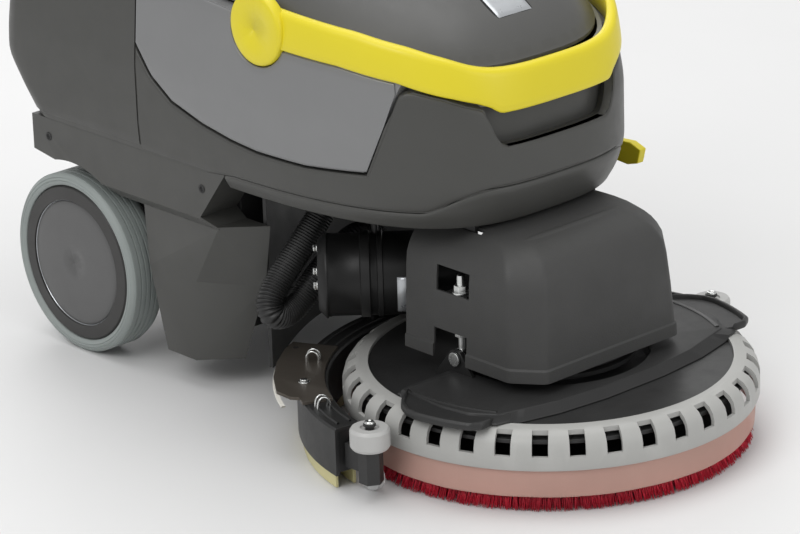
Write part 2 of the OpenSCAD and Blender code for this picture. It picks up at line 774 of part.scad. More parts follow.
module swing_arm() {
    color(black) place() difference() {
        union() {
            translate([0, 0, arm_z]) cylinder(r = 84, h = arm_t);
            translate([-215, -16, arm_z]) cube([150, 32, arm_t]);
            translate([-240, -28, arm_z]) cube([34, 56, arm_t]);
            for (s = [-1, 1]) translate([-port_r, s * 21, arm_z - 5]) cylinder(r = 7, h = 14);
        }
        translate([0, 0, 70]) cylinder(r = track_r + fit, h = 40);
        translate([-port_r, 0, 70]) cylinder(r = 16, h = 40);
        for (s = [-1, 1]) translate([-port_r, s * 21, 70]) cylinder(r = 4 + fit, h = 60);
    }
}

module squeegee_channel() {
    start = 180 - channel_half_arc;
    sweep = 2 * channel_half_arc;
    color(black) place() difference() {
        union() {
            arc(start, sweep, [[channel_in, 15], [channel_in + 4, 15], [channel_in + 4, 59],
                [channel_out - 4, 59], [channel_out - 4, 15], [channel_out, 15], [channel_out, 61],
                [channel_out - 2, 63], [channel_in + 2, 63], [channel_in, 61]]);
            for (a = [start + 0.2, start + sweep - 1.7]) arc(a, 1.5, box_profile(channel_in + 3,
                channel_out - 3, 18, 60));
            translate([-port_r, 0, 62]) cylinder(r = 11, h = 22);
            for (s = [-1, 1]) translate([-port_r, s * 21, 62]) cylinder(r = 4, h = 44);
        }
        translate([-port_r, 0, 50]) cylinder(r = 9, h = 50);
    }
}

module blade_inner() {
    color([0.85, 0.82, 0.6]) place() arc(180 - channel_half_arc + 2, 2 * channel_half_arc - 4,
        box_profile(channel_in + 4, channel_in + 7, 0, 50));
}

module blade_outer() {
    color([0.85, 0.82, 0.6]) place() arc(180 - channel_half_arc + 2, 2 * channel_half_arc - 4,
        box_profile(channel_out - 7, channel_out - 4, 0, 50));
}

module squeegee_wings() {
    color([0.3, 0.28, 0.26]) place() both_sides() difference() {
        translate([0, 0, 63]) linear_extrude(3) polygon(concat(
            [for (a = [208 : 4 : 244]) 217 * [cos(a), sin(a)]],
            [for (p = [[244, 247], [241, 247], [240, 255], [236, 265], [228, 266], [220, 266],
                [212, 266], [208, 264]]) p[1] * [cos(p[0]), sin(p[0])]]));
        rotate([0, 0, 211]) translate([support_at, 0, 50]) cylinder(r = 3 + fit, h = 30);
    }
}

module blade_clips() {
    color(steel) place() both_sides() for (a = [219, 247]) rotate([0, 0, a]) {
        for (t = [-4, 4]) translate([channel_out - 8, t, 0]) {
            translate([0, -0.8, a < 240 ? 66 : 63]) cube([1.6, 1.6, a < 240 ? 10 : 12]);
            translate([-12, -0.8, a < 240 ? 66 : 63]) cube([1.6, 1.6, a < 240 ? 10 : 12]);
            translate([-12, -0.8, a < 240 ? 75 : 74]) cube([13.6, 1.6, 1.6]);
        }
    }
}

module roller_posts() {
    color(black) place() both_sides() {
        translate([post_x, post_y, 18]) cylinder(r = 12, h = 33, $fn = 6);
        translate([post_x, post_y, 50]) cylinder(r = 4, h = 27);
        translate([post_x, post_y, 74.2]) cylinder(r = 6, h = 2);
        translate([-38.7, post_y - 8, 24]) cube([34, 10, 24]);
        across(caster_x, 14, 2.5, 208, 221);
        across(caster_x, 14, 4, 207.4, 209.2);
        side_plate([[post_x - 2, 18], [caster_x + 2, 10.5], [caster_x - 3, 11], [caster_x - 3, 18],
            [post_x - 2, 30]], caster_y + 0.6, caster_y + 4.5);
        rotate([0, 0, 149]) translate([support_at, 0, 40]) cylinder(r = 3, h = 26);
        rotate([0, 0, 149]) translate([support_at, 0, 39]) cylinder(r = 5, h = 2);
    }
}

module deflector_roller(left) {
    color(light_grey) place() on_left(left) translate([post_x, -post_y, 52]) rotate_extrude($fn = smooth_fn)
        polygon([[4 + fit, 0], [deflector_r - 2, 0], [deflector_r, 3], [deflector_r, 18],
            [deflector_r - 2, 21], [9, 21], [8, 19], [4 + fit, 19]]);
}
module deflector_roller_left() { deflector_roller(true); }
module deflector_roller_right() { deflector_roller(false); }

module caster(left) {
    color([0.8, 0.8, 0.82]) place() on_left(left) translate([caster_x, -caster_y, 14]) rotate([-90, 0, 0])
        tube(14, 2.5 + fit, 7);
}
module caster_left() { caster(true); }
module caster_right() { caster(false); }

module support_roller(left) {
    color(light_grey) place() on_left(left) rotate([0, 0, 211]) translate([support_at, 0, 42]) difference() {
        cylinder(r = 11, h = 19);
        translate([0, 0, -1]) cylinder(r = 3 + fit, h = 30);
    }
}
module support_roller_left() { support_roller(true); }
module support_roller_right() { support_roller(false); }

// A tube swept along the hose's route
function unit(v) = v / norm(v);
function hose_dir(i) = let(n = len(hose_route) - 1)
    unit(hose_route[min(i + 1, n)] - hose_route[max(i - 1, 0)]);

module suction_hose() {
    sides = 12;
    side_axis = [1, 0, 0];
    rings = [for (i = [0 : len(hose_route) - 1]) let(
            d = (i == 0 || i == len(hose_route) - 1) ? [0, 0, -1] : hose_dir(i),
            u = unit(side_axis - d * (side_axis * d)),
            v = cross(d, u))
        [for (k = [0 : sides - 1]) let(a = -360 * k / sides)
            hose_route[i] + hose_d / 2 * (cos(a) * u + sin(a) * v)]];
    color(black) place() skin(rings);
}

// ---- push handle ----

module push_column() {
    color(anthracite) place() difference() {
        union() {
            translate([fold_x - fold_r, -59.5, fold_z]) cube([2 * fold_r, 119, column_top - fold_z]);
            across(fold_x, fold_z, fold_r, -59.5, 59.5);
        }
        across(fold_x, fold_z, 8 + fit, -70, 70);
        translate([fold_x - fold_r + 5, -54, fold_z + 40]) cube([2 * fold_r - 10, 108, column_top]);
    }
}

module console() {
    color(anthracite) place() difference() {
        hull() {
            translate([fold_x - fold_r - 4, -64, column_top + 0.3]) cube([2 * fold_r + 8, 128, 2]);
            translate([-612, -95, 902]) cube([106, 190, 8]);
            on_console() translate([-54, -92, -6]) cube([110, 184, 6]);
        }
        on_bow() across(0, 0, bow_tube_r, -120, -70);
        on_bow() across(0, 0, bow_tube_r, 70, 120);
        on_console() cylinder(r = 5 + fit, h = 60, center = true);
        on_console() translate([-22, -50, -14]) cylinder(r = 9 + fit, h = 40);
    }
}

module handle_bow() {
    straight = bow_half - bow_corner;
    color(black) place() difference() {
        on_bow() {
            for (s = [-1, 1]) {
                across(0, 0, bow_tube_r, s > 0 ? 71 : -straight, s > 0 ? straight : -71);
                translate([0, s * bow_half, bow_corner])
                    cylinder(r = bow_tube_r, h = bow_height - 2 * bow_corner);
                for (z = [bow_corner, bow_height - bow_corner])
                    translate([0, s * straight, z])
                        rotate([0, 90, 0]) rotate([0, 0, (s > 0 ? 0 : 180)
                            + ((z == bow_corner) == (s > 0) ? 0 : 90)])
                        rotate_extrude(angle = 90) translate([bow_corner, 0]) circle(r = bow_tube_r);
            }
            across(0, bow_height, bow_tube_r, -straight, straight);
        }
        on_bow() for (s = [-1, 1]) across(0, 100, 4 + fit, s > 0 ? 180 : -bow_half, s > 0 ? bow_half : -180);
    }
}

module grips() {
    color([0.13, 0.13, 0.13]) place() on_bow() for (s = [-1, 1]) translate([0, s > 0 ? 160 : -36, bow_height])
        rotate([90, 0, 0]) tube(16, bow_tube_r + fit, 124);
}

module safety_lever() {
    color(yellow) place() on_bow() {
        across(34, 132, 6, -160, 160);
        for (s = [-1, 1]) {
            hull() {
                across(34, 132, 6, s > 0 ? 158 : -164, s > 0 ? 164 : -158);
                across(0, 100, 7, s > 0 ? 170 : -176, s > 0 ? 176 : -170);
            }
            across(0, 100, 4, s > 0 ? 172 : -190, s > 0 ? 190 : -172);
        }
    }
}

module speed_knob() {
    color(yellow) place() on_console() {
        translate([0, 0, 0.4]) cylinder(r = 22, h = 5);
        translate([0, 0, 5.4]) cylinder(r = 18, h = 11);
        translate([-17, -3, 16.4]) cube([34, 6, 5]);
        translate([0, 0, -10]) cylinder(r = 5, h = 12);
    }
}

module start_button() {
    color([0.1, 0.45, 0.2]) place() on_console() translate([-22, -50, -8]) cylinder(r = 9, h = 13);
}

chassis_frame();
nose_skirt();
pod_left();
pod_right();
bulkhead();
battery_tray();
battery_left();
battery_right();
axle_left();
axle_right();
fresh_tank();
rear_cap();
filler_cap();
vacuum_motor();
suction_pipe();
head_cover();
adjust_rods();
pivot_pins();
tyre_left();
tyre_right();
rim_left();
rim_right();
hub_cap_left();
hub_cap_right();
waste_tank();
tank_lid();
carry_handle();
deck_plate();
splash_ring();
splash_skirt();
deck_bridge();
pin_brackets();
gearbox();
drive_motor();
motor_cap();
brush_disc();
bristles();
release_pin();
release_pedal();
swing_arm();
squeegee_channel();
blade_inner();
blade_outer();
squeegee_wings();
blade_clips();
roller_posts();
deflector_roller_left();
deflector_roller_right();
caster_left();
caster_right();
support_roller_left();
support_roller_right();
suction_hose();
push_column();
console();
handle_bow();
grips();
safety_lever();
speed_knob();
start_button();
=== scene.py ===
import json
import math
import random

import bmesh
import bpy
from mathutils import Matrix, Vector
from mathutils.bvhtree import BVHTree


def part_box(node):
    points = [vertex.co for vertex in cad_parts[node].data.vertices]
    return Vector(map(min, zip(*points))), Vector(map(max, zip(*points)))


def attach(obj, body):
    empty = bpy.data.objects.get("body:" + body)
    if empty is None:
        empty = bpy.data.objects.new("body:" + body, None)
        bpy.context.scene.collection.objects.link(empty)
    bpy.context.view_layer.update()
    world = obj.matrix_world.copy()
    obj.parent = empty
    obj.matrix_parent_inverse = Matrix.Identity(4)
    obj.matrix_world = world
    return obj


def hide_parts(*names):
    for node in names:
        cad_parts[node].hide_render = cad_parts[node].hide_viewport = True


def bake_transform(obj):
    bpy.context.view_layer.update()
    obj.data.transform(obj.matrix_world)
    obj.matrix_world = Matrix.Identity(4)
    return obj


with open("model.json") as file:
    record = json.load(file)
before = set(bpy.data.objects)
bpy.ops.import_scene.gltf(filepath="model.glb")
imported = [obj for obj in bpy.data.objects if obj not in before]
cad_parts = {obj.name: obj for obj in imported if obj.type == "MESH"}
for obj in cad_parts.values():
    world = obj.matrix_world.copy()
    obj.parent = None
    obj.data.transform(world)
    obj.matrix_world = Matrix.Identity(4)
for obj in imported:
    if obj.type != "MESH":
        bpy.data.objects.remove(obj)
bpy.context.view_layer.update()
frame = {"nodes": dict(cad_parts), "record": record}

# Floor scrubber. Lengths in the helpers are millimetres with the brush axis at x = 0, y = 0;
# pt() turns them into the frame's metres.
MM = 0.001
NODES = frame["nodes"]
RING_LO, RING_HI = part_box("splash_ring")
BRUSH_X = (RING_LO.x + RING_HI.x) / 2
RNG = random.Random(7)

PIVOT = (-209.0, 402.0)
NOSE_START = -300.0
TANK_REAR = -389.0
SEAM_Z = 242.0
PROUD = 0.9


def pt(x, y, z):
    return Vector((x * MM + BRUSH_X, y * MM, z * MM))


# ---------------------------------------------------------------- materials

def new_tree(name):
    mat = bpy.data.materials.new(name)
    mat.use_nodes = True
    tree = mat.node_tree
    shader = tree.nodes["Principled BSDF"]
    return mat, tree, shader


def link(tree, a, out, b, into):
    tree.links.new(a.outputs[out], b.inputs[into])


def noise_node(tree, coord, scale, detail=3.0, rough=0.55):
    node = tree.nodes.new("ShaderNodeTexNoise")
    node.inputs["Scale"].default_value = scale
    node.inputs["Detail"].default_value = detail
    node.inputs["Roughness"].default_value = rough
    link(tree, coord, "Object", node, "Vector")
    return node


def ranged(tree, source, out, lo, hi, from_lo=0.3, from_hi=0.7):
    node = tree.nodes.new("ShaderNodeMapRange")
    node.inputs["From Min"].default_value = from_lo
    node.inputs["From Max"].default_value = from_hi
    node.inputs["To Min"].default_value = lo
    node.inputs["To Max"].default_value = hi
    link(tree, source, out, node, "Value")
    return node


def surface(name, color, rough, metal=0.0, grain=1100.0, depth=0.06, mottle=0.05, wear=0.12,
            rough_spread=0.06, cells=False, transmission=0.0, alpha=1.0, coat=0.0, streak=None,
            specular=0.5, ior=1.5):
    """A moulded or painted surface: mottled colour, uneven roughness, fine grain and worn edges."""
    mat, tree, shader = new_tree(name)
    coord = tree.nodes.new("ShaderNodeTexCoord")
    shader.inputs["Metallic"].default_value = metal
    shader.inputs["Transmission Weight"].default_value = transmission
    shader.inputs["Alpha"].default_value = alpha
    shader.inputs["Coat Weight"].default_value = coat
    shader.inputs["Coat Roughness"].default_value = 0.15
    shader.inputs["Specular IOR Level"].default_value = specular
    shader.inputs["IOR"].default_value = ior

    clouds = noise_node(tree, coord, 9.0, 5.0)
    dark = [c * (1 - mottle) for c in color]
    light = [min(1.0, c * (1 + mottle)) for c in color]
    tint = tree.nodes.new("ShaderNodeMix")
    tint.data_type = "RGBA"
    tint.inputs["A"].default_value = (*dark, 1)
    tint.inputs["B"].default_value = (*light, 1)
    shade = ranged(tree, clouds, "Fac", 0.0, 1.0)
    link(tree, shade, "Result", tint, "Factor")

    # Edges rub lighter
    geometry = tree.nodes.new("ShaderNodeNewGeometry")
    edges = ranged(tree, geometry, "Pointiness", 0.0, wear, 0.52, 0.62)
    worn = tree.nodes.new("ShaderNodeMix")
    worn.data_type = "RGBA"
    worn.inputs["B"].default_value = (*[min(1.0, c * 1.5 + 0.06) for c in color], 1)
    link(tree, tint, "Result", worn, "A")
    link(tree, edges, "Result", worn, "Factor")
    link(tree, worn, "Result", shader, "Base Color")

    smudges = noise_node(tree, coord, 34.0, 4.0, 0.65)
    gloss = ranged(tree, smudges, "Fac", max(0.05, rough - rough_spread), min(1.0, rough + rough_spread))
    link(tree, gloss, "Result", shader, "Roughness")

    if cells:
        fine = tree.nodes.new("ShaderNodeTexVoronoi")
        fine.inputs["Scale"].default_value = grain
        link(tree, coord, "Object", fine, "Vector")
        out = "Distance"
    else:
        fine = noise_node(tree, coord, grain, 2.0)
        out = "Fac"
    if streak:
        # Brushed or drawn along one axis
        stretch = tree.nodes.new("ShaderNodeMapping")
        stretch.inputs["Scale"].default_value = streak
        link(tree, coord, "Object", stretch, "Vector")
        link(tree, stretch, "Vector", fine, "Vector")
    bump = tree.nodes.new("ShaderNodeBump")
    bump.inputs["Strength"].default_value = 1.0
    bump.inputs["Distance"].default_value = depth * MM
    link(tree, fine, out, bump, "Height")
    link(tree, bump, "Normal", shader, "Normal")
    return mat


MATS = {
    "anthracite_plastic": surface("anthracite_plastic", (0.058, 0.058, 0.054), 0.44, grain=1500,
                                  depth=0.035, mottle=0.03),
    "cover_plastic": surface("cover_plastic", (0.044, 0.044, 0.043), 0.55, grain=850, depth=0.11,
                             cells=True, mottle=0.04),
    "silver_plastic": surface("silver_plastic", (0.23, 0.232, 0.235), 0.40, metal=0.35, grain=2600,
                              depth=0.018, mottle=0.02, wear=0.05),
    "yellow_plastic": surface("yellow_plastic", (0.76, 0.64, 0.018), 0.38, grain=1800, depth=0.02,
                              mottle=0.02, wear=0.05),
    "black_plastic": surface("black_plastic", (0.015, 0.015, 0.015), 0.45, grain=1200, depth=0.05,
                             mottle=0.08, wear=0.2),
    "black_paint": surface("black_paint", (0.009, 0.009, 0.009), 0.42, grain=700, depth=0.04,
                           mottle=0.08, wear=0.3, specular=0.3),
    "black_rubber": surface("black_rubber", (0.016, 0.016, 0.016), 0.42, grain=900, depth=0.04,
                            mottle=0.1, wear=0.25),
    "tyre_rubber": surface("tyre_rubber", (0.29, 0.32, 0.31), 0.55, grain=700, depth=0.06, mottle=0.05,
                           wear=0.1),
    "rim_plastic": surface("rim_plastic", (0.028, 0.027, 0.026), 0.42, grain=1400, depth=0.03,
                           mottle=0.05),
    "hub_grey": surface("hub_grey", (0.10, 0.10, 0.10), 0.4, grain=1500, depth=0.03, mottle=0.03,
                        wear=0.05),
    "ring_plastic": surface("ring_plastic", (0.40, 0.40, 0.385), 0.42, grain=1300, depth=0.03,
                            mottle=0.03, wear=0.1),
    "skirt_felt": surface("skirt_felt", (0.60, 0.37, 0.31), 0.6, grain=420, depth=0.12, mottle=0.08,
                          alpha=0.68, wear=0.05),
    "bristle_red": surface("bristle_red", (0.56, 0.010, 0.035), 0.38, grain=2600, depth=0.02,
                           mottle=0.3, wear=0.1),
    "blade_rubber": surface("blade_rubber", (0.70, 0.64, 0.33), 0.38, grain=900, depth=0.04,
                            mottle=0.06, transmission=0.12),
    "roller_grey": surface("roller_grey", (0.46, 0.46, 0.45), 0.35, grain=1500, depth=0.02, mottle=0.04),
    "clear_plastic": surface("clear_plastic", (0.85, 0.86, 0.86), 0.22, grain=1500, depth=0.02,
                             mottle=0.02, transmission=0.55),
    "zinc_steel": surface("zinc_steel", (0.66, 0.67, 0.66), 0.26, metal=1.0, grain=900, depth=0.02,
                          mottle=0.08, wear=0.1),
    "gear_aluminium": surface("gear_aluminium", (0.30, 0.30, 0.31), 0.5, metal=0.9, grain=500,
                              depth=0.12, mottle=0.06),
    "wing_steel": surface("wing_steel", (0.085, 0.073, 0.06), 0.36, metal=0.5, grain=700, depth=0.04,
                          mottle=0.12, wear=0.4),
    "grip_foam": surface("grip_foam", (0.015, 0.015, 0.015), 0.75, grain=650, depth=0.16, cells=True,
                         mottle=0.06),
    "green_plastic": surface("green_plastic", (0.015, 0.24, 0.06), 0.35, grain=1500, depth=0.02,
                             mottle=0.04),
    "battery_case": surface("battery_case", (0.03, 0.03, 0.035), 0.5, grain=900, depth=0.05,
                            mottle=0.05),
}
LABEL_SILVER = surface("label_silver", (0.52, 0.54, 0.56), 0.3, metal=0.7, grain=1500, depth=0.01,
                       mottle=0.03, streak=(1, 60, 60))
DISPLAY_BLACK = surface("display_black", (0.006, 0.008, 0.01), 0.12, grain=1500, depth=0.004, coat=0.6)
LID_GREY = surface("lid_grey", (0.080, 0.080, 0.077), 0.42, grain=1500, depth=0.035, mottle=0.03)
SEAL_WHITE = surface("seal_white", (0.72, 0.70, 0.64), 0.5, grain=900, depth=0.04)
DECK_BLACK = surface("deck_black", (0.022, 0.022, 0.022), 0.42, grain=1100, depth=0.05, mottle=0.06,
                     wear=0.25, specular=0.4)
# Near-black matt material of painted shade: it stands in for the shade inside gaps and slots
PAINTED_GAP_SHADE = surface("painted_gap_shade", (0.006, 0.006, 0.006), 0.8, grain=900, depth=0.03)


# ---------------------------------------------------------------- mesh helpers

def add_mesh(name, verts, faces, mat, body=None, slot=None):
    mesh = bpy.data.meshes.new(name)
    mesh.from_pydata([tuple(v) for v in verts], [], faces)
    mesh.validate()
    tidy = bmesh.new()
    tidy.from_mesh(mesh)
    bmesh.ops.remove_doubles(tidy, verts=tidy.verts, dist=2e-6)
    bmesh.ops.recalc_face_normals(tidy, faces=tidy.faces)
    tidy.to_mesh(mesh)
    tidy.free()
    for p in mesh.polygons:
        p.use_smooth = True
    obj = bpy.data.objects.new(name, mesh)
    bpy.context.scene.collection.objects.link(obj)
    material = MATS[mat] if isinstance(mat, str) else mat
    mesh.materials.append(material)
    if slot or isinstance(mat, str):
        slot or mat
    if body:
        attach(obj, body)
    return obj


def sharpen(obj, angle=35.0, width=None, segments=2):
    """Rounds the edges over the angle, or leaves them crisp where no width is given."""
    if width:
        bevel = obj.modifiers.new("round", "BEVEL")
        bevel.limit_method = "ANGLE"
        bevel.angle_limit = math.radians(angle)
        bevel.width = width * MM
        bevel.segments = segments
        bevel.harden_normals = True
    else:
        split = obj.modifiers.new("crisp", "EDGE_SPLIT")
        split.split_angle = math.radians(angle)
    return obj


def grid_faces(rows, cols, wrap_rows=False, wrap_cols=False):
    faces = []
    for i in range(rows if wrap_rows else rows - 1):
        for j in range(cols if wrap_cols else cols - 1):
            a, b = i, (i + 1) % rows
            c, d = j, (j + 1) % cols
            faces.append((a * cols + c, a * cols + d, b * cols + d, b * cols + c))
    return faces


def frame_axes(direction):
    n = Vector(direction).normalized()
    side = Vector((0, 0, 1)) if abs(n.z) < 0.9 else Vector((1, 0, 0))
    u = n.cross(side).normalized()
    return u, n.cross(u), n


def turned(name, profile, centre, axis, mat, body, steps=96, slot=None):
    """A turned piece: profile is (radius, height) along the axis, in millimetres, as a closed loop."""
    u, v, n = frame_axes(axis)
    verts, rows = [], steps
    for i in range(steps):
        a = 2 * math.pi * i / steps
        ring = u * math.cos(a) + v * math.sin(a)
        for r, h in profile:
            verts.append(centre + (ring * r + n * h) * MM)
    return add_mesh(name, verts, grid_faces(rows, len(profile), True, True), mat, body, slot)


def catmull(points, per):
    out = []
    n = len(points)
    for i in range(n - 1):
        p0, p1 = points[max(i - 1, 0)], points[i]
        p2, p3 = points[i + 1], points[min(i + 2, n - 1)]
        for k in range(per):
            t = k / per
            out.append(0.5 * ((2 * p1) + (p2 - p0) * t + (2 * p0 - 5 * p1 + 4 * p2 - p3) * t * t
                              + (3 * p1 - p0 - 3 * p2 + p3) * t ** 3))
    out.append(points[-1].copy())
    return out


def tube_along(name, path, radius_at, mat, body=None, sides=28, slot=None):
    """A tube along the path; radius_at gives the radius in millimetres at a distance in metres."""
    verts, length = [], 0.0
    u = None
    for i, p in enumerate(path):
        d = (path[min(i + 1, len(path) - 1)] - path[max(i - 1, 0)]).normalized()
        if u is None:
            u = frame_axes(d)[0]
        u = (u - d * u.dot(d)).normalized()
        v = d.cross(u)
        if i:
            length += (p - path[i - 1]).length
        r = radius_at(length) * MM
        for k in range(sides):
            a = 2 * math.pi * k / sides
            verts.append(p + (u * math.cos(a) + v * math.sin(a)) * r)
    faces = grid_faces(len(path), sides, False, True)
    faces.append(tuple(range(sides)))
    faces.append(tuple(range(len(verts) - sides, len(verts))))
    return add_mesh(name, verts, faces, mat, body, slot)


def box_piece(name, lo, hi, mat, body, radius=1.0, slot=None, matrix=None):
    """A block with rounded edges between two corners in millimetres."""
    verts = [(x, y, z) for x in (lo[0], hi[0]) for y in (lo[1], hi[1]) for z in (lo[2], hi[2])]
    faces = [(0, 1, 3, 2), (4, 6, 7, 5), (0, 4, 5, 1), (2, 3, 7, 6), (0, 2, 6, 4), (1, 5, 7, 3)]
    if matrix is None:
        world = [pt(*v) for v in verts]
    else:
        world = [matrix @ Vector(v) for v in verts]
    obj = add_mesh(name, world, faces, mat, body, slot)
    return sharpen(obj, 30, radius, 3)


def dress(node, width=0.6, angle=32.0, segments=2):
    """Rounds the edges of a CAD node and smooths its curves, without touching its mesh."""
    obj = NODES[node]
    custom = obj.data.attributes.get("custom_normal")
    if custom:
        obj.data.attributes.remove(custom)
    for p in obj.data.polygons:
        p.use_smooth = True
    weld = obj.modifiers.new("weld", "WELD")
    weld.merge_threshold = 2e-6
    flat = obj.modifiers.new("flat", "DECIMATE")
    flat.decimate_type = "DISSOLVE"
    flat.angle_limit = math.radians(0.4)
    if width:
        bevel = obj.modifiers.new("round", "BEVEL")
        bevel.limit_method = "ANGLE"
        bevel.angle_limit = math.radians(angle)
        bevel.width = width * MM
        bevel.segments = segments
        bevel.harden_normals = True
    else:
        split = obj.modifiers.new("crisp", "EDGE_SPLIT")
        split.split_angle = math.radians(angle)


# ---------------------------------------------------------------- the body's curves

def lookup(x, table):
    if x <= table[0][0]:
        return table[0][1]
    for (x0, y0), (x1, y1) in zip(table, table[1:]):
        if x <= x1:
            return y0 + (y1 - y0) * (x - x0) / (x1 - x0)
    return table[-1][1]


def eased(x, table, width):
    """lookup() with its corners rounded over the width."""
    steps = 5
    return sum(lookup(x + width * (k / steps - 0.5), table) for k in range(steps + 1)) / (steps + 1)


NOSE = [(228, 2), (245, 11), (268, 20), (330, 20), (400, 8), (470, -10)]
REAR = [(200, 562), (242, 578), (300, 620), (360, 615), (470, 604)]
HALF = [(228, 166), (242, 176), (270, 178), (330, 178), (400, 172), (470, 162)]
BAND_LOW = [(PIVOT[0], 389), (-105, 383), (-47, 374), (-5, 359.5), (6, 354), (11.5, 349), (14.5, 342),
            (60, 342)]
BAND_HIGH = [(PIVOT[0], 427), (-147, 421.5), (-87, 416), (-40, 406.5), (-12, 395.7), (2, 386),
             (12, 381.5), (60, 379.5)]
PANEL_LOW = [(-389, 352), (-364, 324), (-335, 305), (-290, 292), (-250, 285), (-213, 281), (-150, 280),
             (-83, 284.5), (-49.2, 372.1)]
NOSE_TOP = [(-392, 350.5), (-366.4, 321.6), (-336.5, 302), (-290, 289), (-250, 282), (-213, 278),
            (-150, 277), (-80, 281.5), (-56.5, 343), (-50.1, 360), (-46.5, 363.8), (-39.3, 365.8),
            (-16, 358.9), (4, 347.4), (9, 340), (60, 340)]
GRIP_EDGE = [(0, 308.5), (64, 308.5), (71, 313), (76.5, 322.5), (83, 341), (86, 352), (400, 352)]
SEAM = [(-700, SEAM_Z), (-290, SEAM_Z), (-250, 246.6), (-28, 248.3), (-2, 267), (5, 270.8), (60, 270.8)]


def plan(station, z, inset):
    """Point of the body's outline at one station, as x and y."""
    kind, side, value = station
    nose = eased(z, NOSE, 12) - inset
    half = eased(z, HALF, 12) - inset
    span = nose - NOSE_START
    if kind == "front":
        return NOSE_START + span * (1 - abs(value) ** 3) ** (1 / 3), half * value
    if kind == "flank":
        return NOSE_START + span * value, side * half * (1 - value ** 3) ** (1 / 3)
    return value, side * half


def wrap_stations(x_from, step=5.0, flank=56, front=72):
    """Stations from x_from on the right, round the nose, to x_from on the left."""
    k = 0.5 ** (1 / 3)
    straight = []
    x = x_from
    while x < NOSE_START:
        straight.append(x)
        x += step
    span = 20 - NOSE_START
    first = max(0.0, (x_from - NOSE_START) / span)
    right = [("side", -1, v) for v in straight]
    right += [("flank", -1, first + (k - first) * i / flank) for i in range(flank)]
    middle = [("front", 0, k * (2 * i / front - 1)) for i in range(front + 1)]
    left = [(kind, 1, v) for kind, _, v in reversed(right)]
    return right + middle + left


def rear_stations(x_to, arc=14, across=20):
    """Stations from x_to on the right, round the back, to x_to on the left, as functions of z."""
    out = [("x", -1, x_to - (x_to + 560.0) * i / 12) for i in range(13)]
    out += [("corner", -1, i / arc) for i in range(1, arc + 1)]
    out += [("back", 0, i / across) for i in range(1, across)]
    out += [("corner", 1, 1 - i / arc) for i in range(arc)]
    out += [("x", 1, -560.0 + (x_to + 560.0) * i / 12) for i in range(13)]
    return out


def rear_plan(station, z, inset, corner=42.0):
    kind, side, value = station
    half = eased(z, HALF, 12) - inset
    rear = -(eased(z, REAR, 16) - inset)
    c = corner - inset / 2
    if kind == "x":
        return max(value, rear + c) if value < rear + c else value, side * half
    if kind == "corner":
        a = math.pi / 2 * value
        return rear + c - c * math.sin(a), side * (half - c + c * math.cos(a))
    return rear, (half - c) * (2 * value - 1)


LIP = [(0.0, 9.0), (0.0, 2.4), (0.35, 1.3), (1.0, 0.45), (2.2, 0.0)]


def strip(name, stations, low, high, mat, body, rows=16, proud=PROUD, lip=LIP,
          place_on=plan, level=352.0):
    """A moulded skin between two height curves, with rounded lips that turn inwards.
    low and high take (x, y) at the station's nominal height and give z."""
    verts = []
    for st in stations:
        z0, z1 = low(*place_on(st, 256.0, 0.0)), high(*place_on(st, level, -proud))
        z1 = max(z1, z0 + 0.2)
        room = min(1.0, (z1 - z0) / 6.0)
        levels = [(z0 + dz * room, inset) for dz, inset in lip]
        for k in range(1, rows):
            levels.append((z0 + lip[-1][0] * room + (z1 - z0 - 2 * lip[-1][0] * room) * k / rows, 0.0))
        levels += [(z1 - dz * room, inset) for dz, inset in reversed(lip)]
        for z, inset in levels:
            x, y = place_on(st, z, inset - proud)
            verts.append(pt(x, y, z))
    cols = len(verts) // len(stations)
    return add_mesh(name, verts, grid_faces(len(stations), cols), mat, body)


# ---------------------------------------------------------------- camera, lights, floor

def set_camera():
    azimuth, elevation, roll = (math.radians(a) for a in (47.9078, 20.2606, -1.8446))
    back = Vector((math.sin(azimuth) * math.cos(elevation), -math.cos(azimuth) * math.cos(elevation),
                   math.sin(elevation)))
    right = Vector((math.cos(azimuth), math.sin(azimuth), 0))
    up = back.cross(right)
    right, up = (right * math.cos(roll) + up * math.sin(roll),
                 up * math.cos(roll) - right * math.sin(roll))
    data = bpy.data.cameras.new("camera")
    data.sensor_width = 36.0
    data.lens = 180.0
    data.clip_end = 60.0
    camera = bpy.data.objects.new("camera", data)
    camera.matrix_world = Matrix((
        (right.x, up.x, back.x, 2.75854), (right.y, up.y, back.y, -2.49251),
        (right.z, up.z, back.z, 1.48836), (0, 0, 0, 1)))
    bpy.context.scene.collection.objects.link(camera)
    bpy.context.scene.camera = camera


def area_light(name, place, target, size, power, shape="RECTANGLE"):
    data = bpy.data.lights.new(name, "AREA")
    data.shape = shape
    data.size, data.size_y = size
    data.energy = power
    lamp = bpy.data.objects.new(name, data)
    lamp.location = place
    lamp.rotation_euler = (Vector(target) - Vector(place)).to_track_quat("-Z", "Y").to_euler()
    bpy.context.scene.collection.objects.link(lamp)


